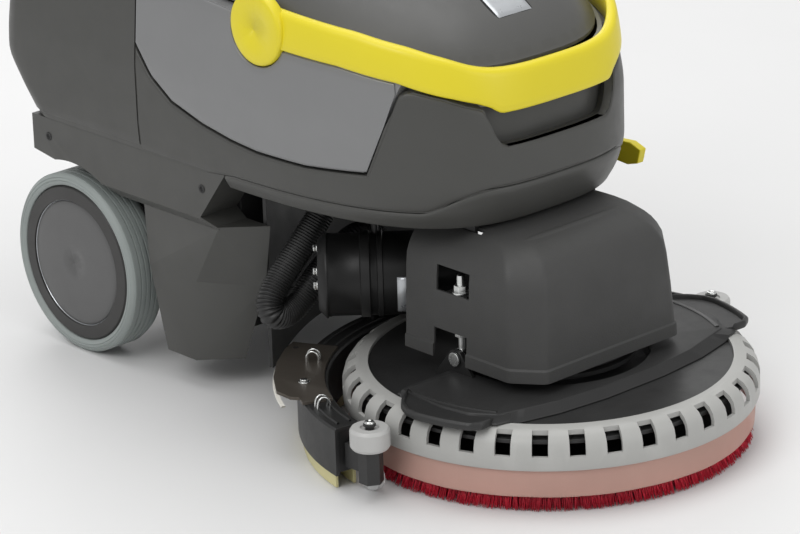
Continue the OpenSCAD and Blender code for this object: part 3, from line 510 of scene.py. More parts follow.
def set_stage():
    world = bpy.data.worlds.new("studio")
    bpy.context.scene.world = world
    world.use_nodes = True
    world.node_tree.nodes["Background"].inputs["Color"].default_value = (1.0, 1.0, 1.0, 1)
    world.node_tree.nodes["Background"].inputs["Strength"].default_value = 0.55
    area_light("key", (0.6, -3.2, 3.2), (0.1, 0, 0.3), (3.0, 2.0), 58)
    area_light("top", (-0.4, 0.3, 3.6), (-0.1, 0, 0.3), (3.2, 3.2), 62)
    area_light("front", (3.6, 0.4, 1.6), (0.2, 0, 0.3), (1.4, 2.2), 18)
    area_light("rear", (-3.0, 1.8, 2.2), (0.0, 0, 0.3), (2.2, 2.2), 30)
    bpy.context.scene.view_settings.view_transform = "Standard"

    mat, tree, shader = new_tree("floor_paper")
    coord = tree.nodes.new("ShaderNodeTexCoord")
    clouds = noise_node(tree, coord, 3.0, 4.0)
    tint = ranged(tree, clouds, "Fac", 0.745, 0.76)
    join = tree.nodes.new("ShaderNodeCombineColor")
    for channel in ("Red", "Green", "Blue"):
        link(tree, tint, "Result", join, channel)
    link(tree, join, "Color", shader, "Base Color")
    shader.inputs["Roughness"].default_value = 0.6
    size = 14.0
    floor = add_mesh("floor", [(-size, -size, 0), (size, -size, 0), (size, size, 0), (-size, size, 0)],
                     [(0, 1, 2, 3)], mat)
    floor.location.z = -0.0005


# ---------------------------------------------------------------- body shells

def nose_top(x, y):
    """Upper edge of the housing's skin: along the saddle, the rim under the band and the grip recess."""
    top = lookup(x, NOSE_TOP)
    return min(top, lookup(abs(y), GRIP_EDGE)) if x > 0 else top


def body_shells():
    strip("nose_skin", wrap_stations(-262.0), lambda x, y: 229.0,
          lambda x, y: eased(x, SEAM, 10) - 0.9, "anthracite_plastic", "chassis", rows=8, level=256.0)
    strip("tank_skin", wrap_stations(TANK_REAR + 1.5), lambda x, y: eased(x, SEAM, 10) + 0.2,
          nose_top, "anthracite_plastic", "chassis", rows=20)
    strip("rear_skin", rear_stations(TANK_REAR - 1.0), lambda x, y: SEAM_Z + 0.2,
          lambda x, y: 446.0, "anthracite_plastic", "chassis", rows=24, place_on=rear_plan,
          lip=[(0.0, 14.0), (0.3, 7.0), (1.4, 3.4), (3.4, 1.2), (6.5, 0.0)])


def silver_panels():
    def low(x, y):
        return lookup(x, PANEL_LOW) + 0.4

    def high(x, y):
        near = abs(x - PIVOT[0])
        top = lookup(x, [(-389, 423), (PIVOT[0], 408)]) if x < PIVOT[0] else eased(x, BAND_LOW, 3) - 1.6
        if near < 37.5:
            top = min(top, PIVOT[1] - math.sqrt(37.5 ** 2 - near ** 2))
        return top

    for side, word in ((-1, "right"), (1, "left")):
        xs = [TANK_REAR + 0.8 + (PIVOT[0] - 40 - TANK_REAR) * i / 40 for i in range(40)]
        xs += [PIVOT[0] - 37.6 * math.cos(math.pi * i / 48) for i in range(49)]
        xs += [PIVOT[0] + 38 + (-49.6 - PIVOT[0] - 38) * i / 60 for i in range(61)]
        span = 20 - NOSE_START
        stations = [("side", side, x) if x < NOSE_START
                    else ("flank", side, (x - NOSE_START) / span) for x in xs]
        strip(f"silver_panel_{word}", stations, low, high, "silver_plastic", "tank", rows=14,
              lip=[(0.0, 6.0), (0.0, 1.8), (0.25, 0.9), (0.8, 0.3), (1.6, 0.0)])


def carry_band():
    """The yellow band that wraps the nose, and its two round bosses."""
    stations = wrap_stations(PIVOT[0])
    verts = []
    for st in stations:
        lo = eased(plan(st, 346.0, -4.0)[0], BAND_LOW, 2)
        hi = eased(plan(st, 386.0, -4.0)[0], BAND_HIGH, 14)
        section = [(lo + 2, 5.0), (lo, 3.5), (lo, -1.6), (lo + 0.7, -3.2), (lo + 2.4, -4.0)]
        section += [(lo + (hi - lo) * t, -4.0 - 0.5 * math.sin(math.pi * t))
                    for t in (0.2, 0.35, 0.5, 0.65, 0.8)]
        section += [(hi - 4.6, -4.0), (hi - 2.2, -3.1), (hi - 0.6, -1.2), (hi, 1.0), (hi, 3.5),
                    (hi - 2, 5.0)]
        for z, inset in section:
            x, y = plan(st, z, inset)
            verts.append(pt(x, y, z))
    cols = len(verts) // len(stations)
    faces = grid_faces(len(stations), cols, False, True)
    faces += [tuple(range(cols)), tuple(range(len(verts) - cols, len(verts)))]
    band = add_mesh("carry_band", verts, faces, "yellow_plastic", "tank_handle")
    for side, word in ((-1, "right"), (1, "left")):
        centre = pt(PIVOT[0], 0, PIVOT[1])
        profile = [(10.1, 164), (34.5, 164), (36, 166), (36, 173.2), (35.4, 175), (34, 176.1),
                   (31, 176.6), (0.01, 177.0), (0.01, 176.0), (10.1, 175.5)]
        turned(f"band_boss_{word}", profile, centre, (0, side, 0), "yellow_plastic", "tank_handle")
    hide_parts("carry_handle")


LID_RIM = [(-400, 427), (PIVOT[0], 411), (30, 369.5)]
LID_RISE = [(0, 78), (0.35, 70), (0.62, 55), (0.84, 34), (0.95, 16), (1, 3)]


def lid_outline():
    """Plan of the lid's rim, closed: nose, left side, back, right side."""
    out = []
    for st in wrap_stations(-356.0):
        x, y = plan(st, 400.0, 14.0)
        out.append((x, y))
    rear, half, c = TANK_REAR + 8, eased(400.0, HALF, 12) - 14, 20.0
    for i in range(1, 9):
        a = math.pi / 2 * i / 8
        out.append((rear + c - c * math.sin(a), half - c + c * math.cos(a)))
    for i in range(1, 16):
        out.append((rear, (half - c) * (1 - 2 * i / 16)))
    for i in range(8):
        a = math.pi / 2 * (1 - i / 8)
        out.append((rear + c - c * math.sin(a), -half + c - c * math.cos(a)))
    return out


def tank_lid():
    """Crowned lid with a raised contour, and a blank plate on its front."""
    base = lid_outline()
    cx = -190.0
    ss = [1.0, 0.995, 0.985, 0.965, 0.94, 0.91, 0.88, 0.85, 0.82, 0.79, 0.76, 0.73, 0.70, 0.67, 0.64,
          0.61,
          0.58, 0.55, 0.52, 0.49, 0.46, 0.42, 0.38, 0.34, 0.30, 0.25, 0.20, 0.14, 0.08, 0.03]

    def smooth(v):
        v = max(0.0, min(1.0, v))
        return v * v * (3 - 2 * v)

    verts = []
    for s in ss:
        rise = eased(s, LID_RISE, 0.10 if s < 0.93 else 0.02)
        # A raised contour shaped like a U, open to the back
        ridge = 3.4 * smooth((0.66 - s) / 0.035) * smooth((s - 0.50) / 0.05)
        for bx, by in base:
            x, y = cx + (bx - cx) * s, by * s
            rim_b, rim_x = lookup(bx, LID_RIM), lookup(x, LID_RIM)
            z = rim_b + (rim_x - rim_b) * (1 - s) + rise
            z += ridge * smooth((x + 330) / 60)
            verts.append(pt(x, y, z))
    n = len(base)
    faces = grid_faces(len(ss), n, False, True)
    faces.append(tuple(range(len(verts) - n, len(verts))))
    # Skirt of the rim
    start = len(verts)
    for drop, inset in ((0.5, 1.0), (0.8, 5.0)):
        for bx, by in base:
            k = 1 - inset / 160.0
            verts.append(pt(cx + (bx - cx) * k, by * k, lookup(bx, LID_RIM) - drop + 0.8))
    for j in range(n):
        faces.append((j, (j + 1) % n, start + (j + 1) % n, start + j))
        faces.append((start + j, start + (j + 1) % n, start + n + (j + 1) % n, start + n + j))
    lid = add_mesh("lid_shell", verts, faces, LID_GREY, "lid", "anthracite_plastic")
    sharpen(lid, 50)
    NODES["tank_lid"].data.materials[0] = LID_GREY
    # Blank plate laid on the front of the crown, with a border of painted shade round it that stands in for
    # the shadow of the gap
    mesh = lid.data
    tree = BVHTree.FromPolygons([v.co for v in mesh.vertices],
                                [tuple(f.vertices) for f in mesh.polygons])
    for name, half, rise, mat in (("lid_plate_gap_shade", 25.5, 0.7, PAINTED_GAP_SHADE),
                                  ("lid_plate", 23.5, 1.3, LABEL_SILVER)):
        verts = []
        count = 16
        for i in range(count + 1):
            for j in range(count + 1):
                x, y = -60 + half * (2 * i / count - 1), half * (2 * j / count - 1)
                spot = tree.ray_cast(pt(x, y, 700), Vector((0, 0, -1)))[0]
                edge = max(abs(2 * i / count - 1), abs(2 * j / count - 1)) == 1
                verts.append(spot + Vector((0, 0, (-0.6 if edge else rise) * MM)))
        add_mesh(name, verts, grid_faces(count + 1, count + 1), mat, "lid", "anthracite_plastic")


# ---------------------------------------------------------------- scrubbing head cover

def cover_outline(rear, x1, x2, y1, y2, radius=5.0, steps=4):
    """Right side from the back, round the chamfered front, to the left side's back."""
    corners = [(rear, -y1), (x1, -y1), (x2, -y2), (x2, y2), (x1, y1), (rear, y1)]
    out = [corners[0]]
    straight = 10
    for i in range(1, straight):
        out.append((rear + (x1 - radius - rear) * i / straight, -y1))
    for i in range(1, 5):
        a, b, c = Vector(corners[i - 1]), Vector(corners[i]), Vector(corners[i + 1])
        p, q = b + (a - b).normalized() * radius, b + (c - b).normalized() * radius
        for k in range(steps + 1):
            t = k / steps
            out.append(tuple((1 - t) ** 2 * p + 2 * t * (1 - t) * b + t * t * q))
    for i in range(straight - 1, 0, -1):
        out.append((rear + (x1 - radius - rear) * i / straight, y1))
    out.append(corners[5])
    return out


COVER_LEVELS = [(97, 55.6, 84.6, 109.6, 87.6), (109, 55.4, 84.2, 109.2, 87.4),
                (110.4, 54.2, 82.6, 107.5, 86.2), (120, 54, 82, 107, 86), (150, 52.5, 80, 106, 84),
                (180, 51, 77.5, 104.7, 81), (192, 49.5, 75.5, 103.2, 79.2), (200, 46.5, 71, 100, 76),
                (206, 43, 66, 96.5, 73), (211, 38, 59, 92.5, 70), (215, 32, 51, 88.5, 67),
                (219, 24, 42, 84.5, 64.5), (222, 14, 30, 80, 60), (224.5, 2, 18, 74, 56),
                (226, -12, 6, 66, 50)]


def cut(target, *cutters):
    """Takes the cutters out of the target's mesh."""
    for cutter in cutters:
        mod = target.modifiers.new("cut", "BOOLEAN")
        mod.object = cutter
        mod.solver = "EXACT"
    bpy.context.view_layer.update()
    graph = bpy.context.evaluated_depsgraph_get()
    mesh = bpy.data.meshes.new_from_object(target.evaluated_get(graph))
    target.modifiers.clear()
    target.data = mesh
    for cutter in cutters:
        bpy.data.objects.remove(cutter)
    for p in mesh.polygons:
        p.use_smooth = True


def plain_block(lo, hi):
    verts = [pt(x, y, z) for x in (lo[0], hi[0]) for y in (lo[1], hi[1]) for z in (lo[2], hi[2])]
    faces = [(0, 1, 3, 2), (4, 6, 7, 5), (0, 4, 5, 1), (2, 3, 7, 6), (0, 2, 6, 4), (1, 5, 7, 3)]
    return add_mesh("cutter", verts, faces, PAINTED_GAP_SHADE)


def head_cover():
    """Thin textured shell with rounded shoulders, side windows, a flange and two long ribs."""
    rear = -86.0
    wall = 2.6
    rows = []
    for z, x1, x2, y1, y2 in COVER_LEVELS:
        rows.append([pt(x, y, z) for x, y in cover_outline(rear, x1, x2, y1, y2)])
    inner = []
    for z, x1, x2, y1, y2 in COVER_LEVELS:
        top = min(z, 226 - wall)
        ring = cover_outline(rear - 0.01, x1 - wall, x2 - wall, y1 - wall, y2 - wall)
        inner.append([pt(x, y, top if z < 200 else z - wall) for x, y in ring])
    n = len(rows[0])
    verts = [v for ring in rows for v in ring] + [v for ring in inner for v in ring]
    m = len(rows)
    faces = grid_faces(m, n)
    off = m * n
    faces += [tuple(off + i for i in reversed(f)) for f in grid_faces(m, n)]
    # Bottom rim, back rim and the two roofs
    for j in range(n - 1):
        faces.append((j, off + j, off + j + 1, j + 1))
    for i in range(m - 1):
        for j in (0, n - 1):
            faces.append((i * n + j, (i + 1) * n + j, off + (i + 1) * n + j, off + i * n + j))
    last = (m - 1) * n
    faces.append(tuple(last + j for j in range(n)))
    faces.append(tuple(off + last + j for j in reversed(range(n))))
    faces.append((last, last + n - 1, off + last + n - 1, off + last))
    cover = add_mesh("cover_shell", verts, faces, "cover_plastic", None)
    cutters = []
    for s in (-1, 1):
        y0, y1 = sorted((s * 90, s * 125))
        cutters.append(plain_block((-44, y0, 164), (0, y1, 189)))
        cutters.append(plain_block((-47, y0, 90), (-3, y1, 126)))
        y0, y1 = sorted((s * 75, s * 81))
        cutters.append(plain_block((-41.5, y0, 200), (-6.5, y1, 240)))
    cut(cover, *cutters)
    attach(cover, "chassis")
    sharpen(cover, 42, 0.7, 2)
    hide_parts("head_cover")
    # Two raised ribs with rounded ends across the front shoulder
    for k, (x, z, half, tilt) in enumerate(((36.5, 219.6, 66, 28), (57.5, 207.6, 62, 42))):
        verts = []
        m_rows = 34
        for i in range(m_rows + 1):
            t = 2 * i / m_rows - 1
            w = 6.0 * math.sqrt(max(0.0, 1 - abs(t) ** 14)) + 0.05
            a = math.radians(tilt)
            for j in range(9):
                b = math.pi * j / 8
                across, rise = -w * math.cos(b), 2.2 * math.sin(b) * (1 - 0.9 * abs(t) ** 10) - 1.0
                verts.append(pt(x + across * math.cos(a) + rise * math.sin(a), t * half,
                                z - across * math.sin(a) + rise * math.cos(a)))
        add_mesh(f"cover_rib_{k + 1}", verts, grid_faces(m_rows + 1, 9), "cover_plastic", "chassis")


# ---------------------------------------------------------------- wheels

def wheels():
    for side, word in ((-1, "right"), (1, "left")):
        centre = pt(-507, 0, 94)
        face = 178.0
        body = f"wheel_{word}"
        tread = [(81.5, -3), (81.5, -39), (85.5, -41), (89, -42), (92.3, -40.2), (94, -36)]
        z = -33.0
        for groove in range(5):
            tread += [(94, z + 1.9), (92.2, z + 2.4), (92.2, z + 3.5), (94, z + 4.0)]
            z += 6.2
        tread += [(94, -6.5), (93.2, -3.6), (91.6, -1.6), (90.2, -0.6), (89.6, -1.2), (88.9, -0.4),
                  (87.4, 0.0),
                  (86.4, -0.9), (85.6, -0.2), (84.2, -0.5), (83.2, -1.6), (82.3, -1.8)]
        profile = [(r, face + h) for r, h in tread]
        tyre = turned(f"tyre_tread_{word}", profile, centre, (0, side, 0), "tyre_rubber", body, 160)
        sharpen(tyre, 50)
        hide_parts(f"tyre_{word}")
        cap = [(0.01, -0.6), (20, -0.5), (52, -0.9), (60, -1.6), (63.6, -2.2), (65.2, -3.2), (65.8, -5.2),
               (62, -5.8), (50, -3.9), (0.01, -3.6)]
        disc = turned(f"hub_disc_{word}", [(r, face + h) for r, h in cap], centre, (0, side, 0),
                      "hub_grey", body, 128)
        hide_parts(f"hub_cap_{word}")
        turned(f"hub_trim_{word}", [(64.6, face - 3.6), (66.3, face - 3.0), (67.2, face - 1.4),
                                    (67.9, face - 1.6), (68.4, face - 3.4),
                                    (67.0, face - 6)], centre, (0, side, 0), LABEL_SILVER, body, 128,
                                    "hub_grey")


# ---------------------------------------------------------------- brush

def bristle_field():
    """Tufts of nylon in rings: dense at the rim, where they show, and sparser inside."""
    verts, faces = [], []

    def hair(r, a, lean, splay, z_top, z_tip, thick):
        base = Vector((r * math.cos(a), r * math.sin(a), z_top))
        out = Vector((math.cos(a), math.sin(a), 0))
        side = Vector((-math.sin(a), math.cos(a), 0))
        start = len(verts)
        for t, w in ((0.0, 1.0), (0.55, 0.95), (1.0, 0.62)):
            p = base + out * splay * t ** 1.6 + side * lean * t + Vector((0, 0, (z_tip - z_top) * t))
            for k in range(3):
                b = 2 * math.pi * k / 3
                q = p + (out * math.cos(b) + side * math.sin(b)) * thick * w
                verts.append(pt(q.x, q.y, q.z))
        for i in range(2):
            for k in range(3):
                k2 = (k + 1) % 3
                faces.append((start + i * 3 + k, start + i * 3 + k2, start + i * 3 + 3 + k2,
                              start + i * 3 + 3 + k))
        faces.append((start + 6, start + 7, start + 8))

    rings = [(183.2, 210, 15, 8.5), (178.5, 200, 9, 6.5), (171, 120, 6, 4.0)]
    rings += [(r, int(r * 0.50), 4, 2.0) for r in range(160, 80, -11)]
    for r, tufts, hairs, splay in rings:
        for i in range(tufts):
            centre = 2 * math.pi * (i + RNG.uniform(-0.15, 0.15)) / tufts
            tilt = RNG.uniform(-2.0, 2.0)
            for _ in range(hairs):
                a = centre + RNG.uniform(-1.0, 1.0) * 2.1 / r
                rr = r + RNG.uniform(-1.6, 1.6)
                hair(rr, a, tilt + RNG.uniform(-3.2, 3.2), splay * RNG.uniform(0.55, 1.12), 24.0,
                     abs(RNG.gauss(0, 1.3)) + 0.1, 0.52 if r > 170 else 0.8)
    field = add_mesh("bristle_field", verts, faces, "bristle_red", "brush")
    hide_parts("bristles")


def skirt():
    """The translucent skirt inside the splash ring, with soft waves and a rolled lower edge."""
    verts = []
    steps = 288
    for i in range(steps):
        a = 2 * math.pi * i / steps
        wave = 0.45 * math.sin(9 * a + 0.6) + 0.3 * math.sin(23 * a)
        loop = [(194.2, 52), (196.0, 52), (196.1, 44), (195.9 + 0.3 * wave, 34), (195.4 + 0.5 * wave, 24),
                (195.0 + 0.7 * wave, 17.5), (194.7 + 0.7 * wave, 15.5), (194.1 + 0.7 * wave, 15.0),
                (193.4 + 0.7 * wave, 15.6), (193.3 + 0.7 * wave, 18), (193.6 + 0.5 * wave, 26),
                (193.9, 40)]
        for r, z in loop:
            verts.append(pt(r * math.cos(a), r * math.sin(a), z))
    sheet = add_mesh("skirt_band", verts, grid_faces(steps, 12, True, True), "skirt_felt", "deck")
    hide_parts("splash_skirt")


BRIDGE_LOW = [(-30, -172), (30, -174), (62, -172), (92, -163), (109, -95), (115, -38), (115, 38),
              (109, 95), (92, 163), (62, 172), (30, 174), (-30, 172)]
BRIDGE_TOP = [(-28, -170), (30, -172), (62, -166), (84, -150), (101, -88), (107, -35), (107, 35),
              (101, 88), (84, 150), (62, 166), (30, 172), (-28, 170)]
LIP_REACH = [(-97, 167.5), (-96, 174), (-93, 186), (-90, 195), (-86, 203), (-82, 206), (-66, 206),
             (-63, 199), (-61.8, 190)]


def reach(outline, angle):
    """Distance from the brush axis to an outline, along one direction in the plan."""
    d = Vector((math.cos(angle), math.sin(angle)))
    best = 0.0
    for p, q in zip(outline, outline[1:] + outline[:1]):
        ex, ey = q[0] - p[0], q[1] - p[1]
        det = d.x * -ey + d.y * ex
        if abs(det) < 1e-9:
            continue
        t = (p[0] * -ey + p[1] * ex) / det
        u = (d.x * p[1] - d.y * p[0]) / det
        if t > 0 and -1e-6 <= u <= 1 + 1e-6:
            best = max(best, t)
    return best


def deck_bridge():
    """Raised bridge with a sloping front face, and a dished lip over the ring at each end."""
    verts = []
    stations, limit = 220, math.radians(106.5)
    for i in range(stations + 1):
        a = -limit + 2 * limit * i / stations
        low, top = min(reach(BRIDGE_LOW, a), 185.8), min(reach(BRIDGE_TOP, a), 182.0)
        foot = 77.3 if low < 174 else 80.6
        loop = [(95.5, 78), (95.5, 85.4), (96.5, 86.6), (top - 2.4, 86.6), (top - 0.7, 86.2), (top, 85.2),
                (low - 0.8, foot + 2.0), (low, foot + 1.0), (low - 0.3, foot)]
        for r, z in loop:
            verts.append(pt(max(r, 95.5) * math.cos(a), max(r, 95.5) * math.sin(a), z))
    faces = grid_faces(stations + 1, 9, False, True) + [tuple(range(9)),
                                                        tuple(range(len(verts) - 9, len(verts)))]
    bridge = add_mesh("bridge_shell", verts, faces, DECK_BLACK, "deck", "anthracite_plastic")
    sharpen(bridge, 30)
    for side, word in ((-1, "right"), (1, "left")):
        verts = []
        for i in range(91):
            angle = -97 + 35.2 * i / 90
            r0, r1 = 166.0, lookup(angle, LIP_REACH)
            k = min(1.0, (r1 - r0) / 16)
            a = math.radians(angle)
            for r, z in ((r0, 80.6), (r0, 87.0), (r0 + 1.5 * k, 87.9), (r0 + 3.5 * k, 87.9),
                         (r0 + 5 * k, 84.6),
                         (r1 - 6.5 * k, 84.2), (r1 - 5 * k, 87.2), (r1 - 3.6 * k, 88),
                         (r1 - 1.6 * k, 87.6), (r1 - 0.4 * k, 86.2),
                         (r1, 84.4), (r1 - 0.3 * k, 81.6), (r1 - 1.6 * k, 80.6)):
                verts.append(pt(r * math.cos(a), -side * r * math.sin(a), z))
        faces = grid_faces(91, 13, False, True) + [tuple(range(13)),
                                                   tuple(range(len(verts) - 13, len(verts)))]
        sharpen(add_mesh(f"bridge_lip_{word}", verts, faces, DECK_BLACK, "deck", "anthracite_plastic"),
                40)
    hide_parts("deck_bridge")


# ---------------------------------------------------------------- motor, hose

MOTOR_CAP = pt(-184, -131, 150)
MOTOR_DIR = Vector((math.cos(math.radians(48)), math.sin(math.radians(48)), 0))


def bolt(name, centre, axis, radius, height, body, washer=1.6, mat="zinc_steel"):
    """Hex bolt head with a chamfer on a round washer."""
    u, v, n = frame_axes(axis)
    if washer:
        turned(name + "_washer", [(0.3, 0), (radius * washer, 0), (radius * washer, 0.7),
                                  (radius * washer - 0.4, 1.1),
                                  (0.3, 1.1)], centre, axis, mat, body, 40)
    verts = []
    levels = [(0.9, 0.2), (0.9, 1.0), (height - 0.7, 1.0), (height, 0.86), (height, 0.4)]
    for h, k in levels:
        for i in range(6):
            a = math.pi / 3 * i + 0.3
            verts.append(centre + (u * math.cos(a) * radius * k + v * math.sin(a) * radius * k + n * h) * MM)
    faces = grid_faces(5, 6, False, True) + [tuple(range(24, 30)), tuple(range(0, 6))]
    return sharpen(add_mesh(name, verts, faces, mat, body), 30, 0.25, 2)


def motor_details():
    side = Vector((-MOTOR_DIR.y, MOTOR_DIR.x, 0))
    back = -MOTOR_DIR
    profile = [(0.01, 0.0), (20, 0.0), (33, 0.2), (34.6, 1.2), (38.5, 4.6), (41.4, 7.0), (42, 8.0),
               (42, 9.3), (40.5, 9.3), (40.5, 12), (39.9, 13), (39.9, 40), (40.6, 41), (42.0, 41.6),
               (42.0, 49.8), (40.8, 50.6), (40.2, 52), (40.2, 57), (41.8, 57.8), (41.8, 62.4),
               (40.4, 63.2), (40.4, 145.6), (0.01, 145.6)]
    shell = turned("motor_shell", profile, MOTOR_CAP, MOTOR_DIR, "black_paint", "deck", 96)
    sharpen(shell, 40)
    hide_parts("drive_motor", "motor_cap")
    for k, (across, rise) in enumerate(((-12, 8.5), (-12, -6.0), (22, 20), (22, -20))):
        spot = MOTOR_CAP + (side * across + Vector((0, 0, 1)) * rise) * MM + back * 0.05 * MM
        bolt(f"motor_bolt_{k + 1}", spot, back, 3.6, 4.2, "deck", 1.35)
    # Blank rating plate wrapped on the motor's outside
    verts = []
    rows, cols = 14, 4
    for i in range(rows + 1):
        a = math.radians(-48 + 62 * i / rows)
        n = -side * math.cos(a) + Vector((0, 0, 1)) * math.sin(a)
        for j in range(cols + 1):
            t = 76 + 30 * j / cols
            verts.append(MOTOR_CAP + (n * 40.75 + MOTOR_DIR * t) * MM)
    plate = add_mesh("motor_plate", verts, grid_faces(rows + 1, cols + 1), LABEL_SILVER, "deck",
                     "zinc_steel")
    solid = plate.modifiers.new("thick", "SOLIDIFY")
    solid.thickness = 0.25 * MM
    # Lead from the motor to the chassis
    lead = catmull([pt(-150, -86, 188), pt(-152, -84, 205), pt(-158, -74, 222), pt(-166, -62, 238)], 10)
    tube_along("motor_lead", lead, lambda s: 3.4, "black_rubber", "deck", 16)


HOSE = [(-232, -60, 240), (-232, -66, 212), (-233, -82, 188), (-235, -108, 160), (-236, -136, 132),
        (-234, -150, 116), (-230, -151, 104), (-229, -138, 100), (-229, -120, 106), (-228, -98, 124),
        (-226, -72, 144), (-225, -46, 156), (-226, -24, 152), (-228, -8, 138), (-229, 0, 118),
        (-229, 0, 100), (-229, 0, 84.4)]


def suction_hose():
    """Corrugated hose between the chassis and the squeegee."""
    path = catmull([pt(*p) for p in HOSE], 64)
    pitch = 2.9 * MM

    def radius(s):
        phase = (s / pitch) % 1.0
        wave = 0.5 - 0.5 * math.cos(2 * math.pi * phase)
        return 12.3 + 1.6 * wave ** 0.7

    hose = tube_along("hose_ribbed", path, radius, "black_rubber", None, 32)
    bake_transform(hose)
    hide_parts("suction_hose")
    turned("hose_collar", [(11, 66), (16.5, 66), (17.2, 67), (17.2, 70), (14.6, 71.5), (13.2, 73),
                           (13.2, 83.8), (11, 83.8)],
           pt(-229, 0, 0), (0, 0, 1), "black_plastic", "squeegee", 64)


# ---------------------------------------------------------------- squeegee details

def squeegee_details():
    hoops = []
    for side, word in ((-1, "right"), (1, "left")):
        # Screw on each wing
        a = math.radians(232)
        spot = pt(237 * math.cos(a), side * -237 * math.sin(a), 66)
        bolt(f"wing_screw_{word}", spot, (0, 0, 1), 4.0, 3.2, "squeegee", 1.4)
        # Leaf clips: two sprung hoops at each place
        for azimuth, base in ((219, 66), (247, 63)):
            turn = Matrix.Rotation(math.radians(azimuth), 4, "Z")
            for t in (-3.6, 3.6):
                path = []
                for r, z in ((225.4, base - 0.5), (224.8, base + 4), (226.2, base + 8.6),
                             (229.5, base + 11.2),
                             (233.4, base + 10.6), (236.2, base + 7), (237.0, base - 0.5)):
                    spot = turn @ Vector((r, t, 0))
                    path.append(pt(spot.x, -side * spot.y, z))
                hoops.append((path, word, azimuth, t))
        # White sealing edge under the wing
        verts = []
        rows = 24
        for i in range(rows + 1):
            az = math.radians(209 + 34 * i / rows)
            for r, z in ((262.5, 62.8), (266.4, 62.8), (266.8, 61.2), (262.5, 61.2)):
                verts.append(pt(r * math.cos(az), side * -r * math.sin(az), z))
        seal = add_mesh(f"wing_seal_{word}", verts, grid_faces(rows + 1, 4, False, True), SEAL_WHITE,
                        "squeegee",
                        "blade_rubber")
        sharpen(seal, 30, 0.3, 2)
        # Screw in the middle of each deflector roller
        turned(f"roller_screw_{word}", [(0.3, 76.2), (5.0, 76.2), (5.0, 77.6), (4.2, 78.8), (2.0, 79.2),
                                        (1.6, 78.4), (0.3, 78.4)],
               pt(-5, side * 230, 0), (0, 0, 1), "zinc_steel", "squeegee", 40)
    for path, word, azimuth, t in hoops:
        name = f"leaf_clip_{word}_{azimuth}_{'b' if t > 0 else 'a'}"
        tube_along(name, catmull(path, 8), lambda s: 1.15, "zinc_steel", "squeegee", 10)
    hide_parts("blade_clips")
    # Ribs along the top of the channel
    for k, r in enumerate((222.5, 235.5)):
        verts = []
        rows = 90
        for i in range(rows + 1):
            az = math.radians(102 + 156 * i / rows)
            for dr, z in ((-1.2, 62.8), (-0.9, 64.6), (0, 65.1), (0.9, 64.6), (1.2, 62.8)):
                verts.append(pt((r + dr) * math.cos(az), (r + dr) * math.sin(az), z))
        add_mesh(f"channel_rib_{k + 1}", verts, grid_faces(rows + 1, 5), "black_plastic", "squeegee")


# ---------------------------------------------------------------- console and handle

def console_matrix():
    slope = math.radians(-22)
    turn = Matrix.Rotation(slope, 4, "Y")
    return Matrix.Translation(pt(-560, 0, 934)) @ turn @ Matrix.Scale(MM, 4)


def console_details():
    m = console_matrix()
    box_piece("display_bezel", (-34, 24, 0.0), (40, 76, 2.4), "black_plastic", "handle", 1.6, matrix=m)
    box_piece("display_glass", (-28, 30, 2.0), (34, 70, 3.1), DISPLAY_BLACK, "handle", 0.8,
              "black_plastic", matrix=m)
    # Battery gauge: five plain bars
    for i in range(5):
        mat = "green_plastic" if i else "yellow_plastic"
        box_piece(f"gauge_bar_{i + 1}", (-16, 35 + 6.4 * i, 3.0), (2 + 3.5 * i, 39.2 + 6.4 * i, 3.5),
                  mat, "handle", 0.2, matrix=m)
    # Scale ticks round the knob
    for i in range(11):
        a = math.radians(-135 + 27 * i)
        turn = m @ Matrix.Rotation(a, 4, "Z")
        box_piece(f"knob_tick_{i + 1}", (24.5, -0.7, -0.1), (29.0, 0.7, 0.35), SEAL_WHITE, "handle",
                  0.1, "roller_grey", matrix=turn)
    for i, (x, y) in enumerate(((-46, -84), (-46, 84), (48, -84), (48, 84))):
        turned(f"console_screw_{i + 1}", [(0.2, -0.2), (3.6, -0.2), (3.6, 0.5), (2.8, 1.0), (1.4, 1.0),
                                          (1.2, 0.2), (0.2, 0.2)],
               m @ Vector((x, y, 0)), (m.to_3x3() @ Vector((0, 0, 1))), "black_paint", "handle", 32)
    # Button collar and key switch
    for i, (x, y, r) in enumerate(((-22, -50, 9.2), (24, -50, 8.0))):
        turned(f"switch_collar_{i + 1}", [(r, -0.3), (r + 3.2, -0.3), (r + 3.2, 1.2), (r + 2.2, 2.1),
                                          (r + 0.4, 2.1), (r, 1.6)],
               m @ Vector((x, y, 0)), (m.to_3x3() @ Vector((0, 0, 1))), "black_plastic", "handle", 56)
    turned("key_switch", [(0.2, -0.3), (7.9, -0.3), (7.9, 2.6), (7.2, 3.4), (0.2, 3.4)],
           m @ Vector((24, -50, 0)),
           (m.to_3x3() @ Vector((0, 0, 1))), "zinc_steel", "handle", 48)
    # The key's slot is a thin near-black box of painted shade laid on the switch, standing in for the shade
    # inside the slot
    box_piece("key_slot_shade", (20.5, -50.9, 3.3), (27.5, -49.1, 3.7), PAINTED_GAP_SHADE, "handle", 0.1,
              "black_plastic", matrix=m)


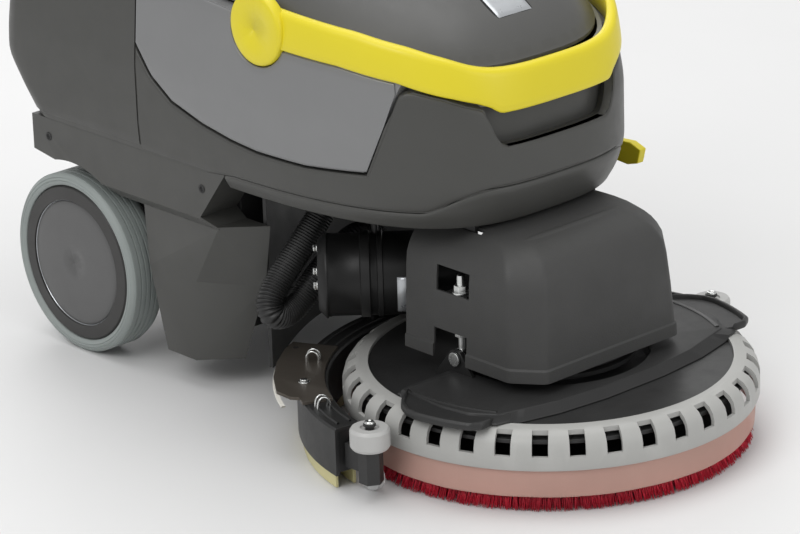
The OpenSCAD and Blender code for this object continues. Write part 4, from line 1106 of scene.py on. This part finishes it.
def column_details():
    # Fold-axis caps, and the cable along the column with its clips
    for side, word in ((-1, "right"), (1, "left")):
        turned(f"fold_cap_{word}", [(0.2, 66.5), (11, 66.5), (12, 67.4), (12, 69.4), (10.8, 70.6),
                                    (4, 71.0), (3.4, 70.0),
                                    (0.2, 70.0)], pt(-555, 0, 540), (0, side, 0), "black_plastic",
                                    "chassis", 56)
    path = catmull([pt(-524.4, -30, 645), pt(-521.5, -30, 665), pt(-521.5, -30, 740),
                    pt(-521.5, -30, 820), pt(-521.5, -30, 872),
                    pt(-524, -30, 882)], 10)
    tube_along("column_lead", path, lambda s: 3.2, "black_rubber", "handle", 16)
    for i, z in enumerate((675, 755, 835)):
        box_piece(f"lead_clip_{i + 1}", (-526, -37, z), (-516.8, -23, z + 7), "black_plastic", "handle",
                  1.2)


def body_details():
    # Fixing screws of the rear cap
    for i, (x, y) in enumerate(((-410, -60), (-410, 20), (-590, -100), (-590, 100))):
        turned(f"cap_screw_{i + 1}", [(0.2, 446.4), (4.2, 446.4), (4.2, 447.6), (3.2, 448.6),
                                      (1.6, 448.6), (1.4, 447.6), (0.2, 447.6)],
               pt(x, y, 0), (0, 0, 1), "black_paint", "chassis", 36)
    for side, word in ((-1, "right"), (1, "left")):
        # Screw recesses in the pods
        for i, (x, z) in enumerate(((-540, 222), (-300, 222))):
            turned(f"pod_screw_{word}_{i + 1}",
                   [(0.2, 175.2), (2.2, 175.2), (2.2, 175.4), (4.4, 175.6), (4.4, 174.0), (0.2, 174.0)],
                   pt(x, 0, z), (0, side, 0), "black_paint", "chassis", 32)


def finish_nodes():
    for sub in frame["record"]["subparts"]:
        obj = NODES[sub["node"]]
        obj.data.materials.clear()
        obj.data.materials.append(MATS[sub["material_slot"]])
    for node in NODES:
        width = {"splash_ring": 0.7, "deck_bridge": 0.9, "console": 3.0, "push_column": 4.0,
                 "rear_cap": 2.0,
                 "pod_left": 1.4, "pod_right": 1.4, "squeegee_wings": 0.5, "blade_clips": 0.3,
                 "fresh_tank": 0.0,
                 "waste_tank": 0.0, "nose_skirt": 0.0, "tank_lid": 0.0, "handle_bow": 0.0,
                 "safety_lever": 0.0,
                 "adjust_rods": 0.35, "release_pedal": 1.2, "speed_knob": 0.9, "filler_cap": 0.9,
                 "squeegee_channel": 0.6, "roller_posts": 0.6}.get(node, 0.5)
        dress(node, width, 32.0, 3 if width >= 1.2 else 2)


set_camera()
set_stage()
finish_nodes()
body_shells()
silver_panels()
carry_band()
tank_lid()
head_cover()
wheels()
bristle_field()
skirt()
deck_bridge()
motor_details()
suction_hose()
squeegee_details()
console_details()
column_details()
body_details()
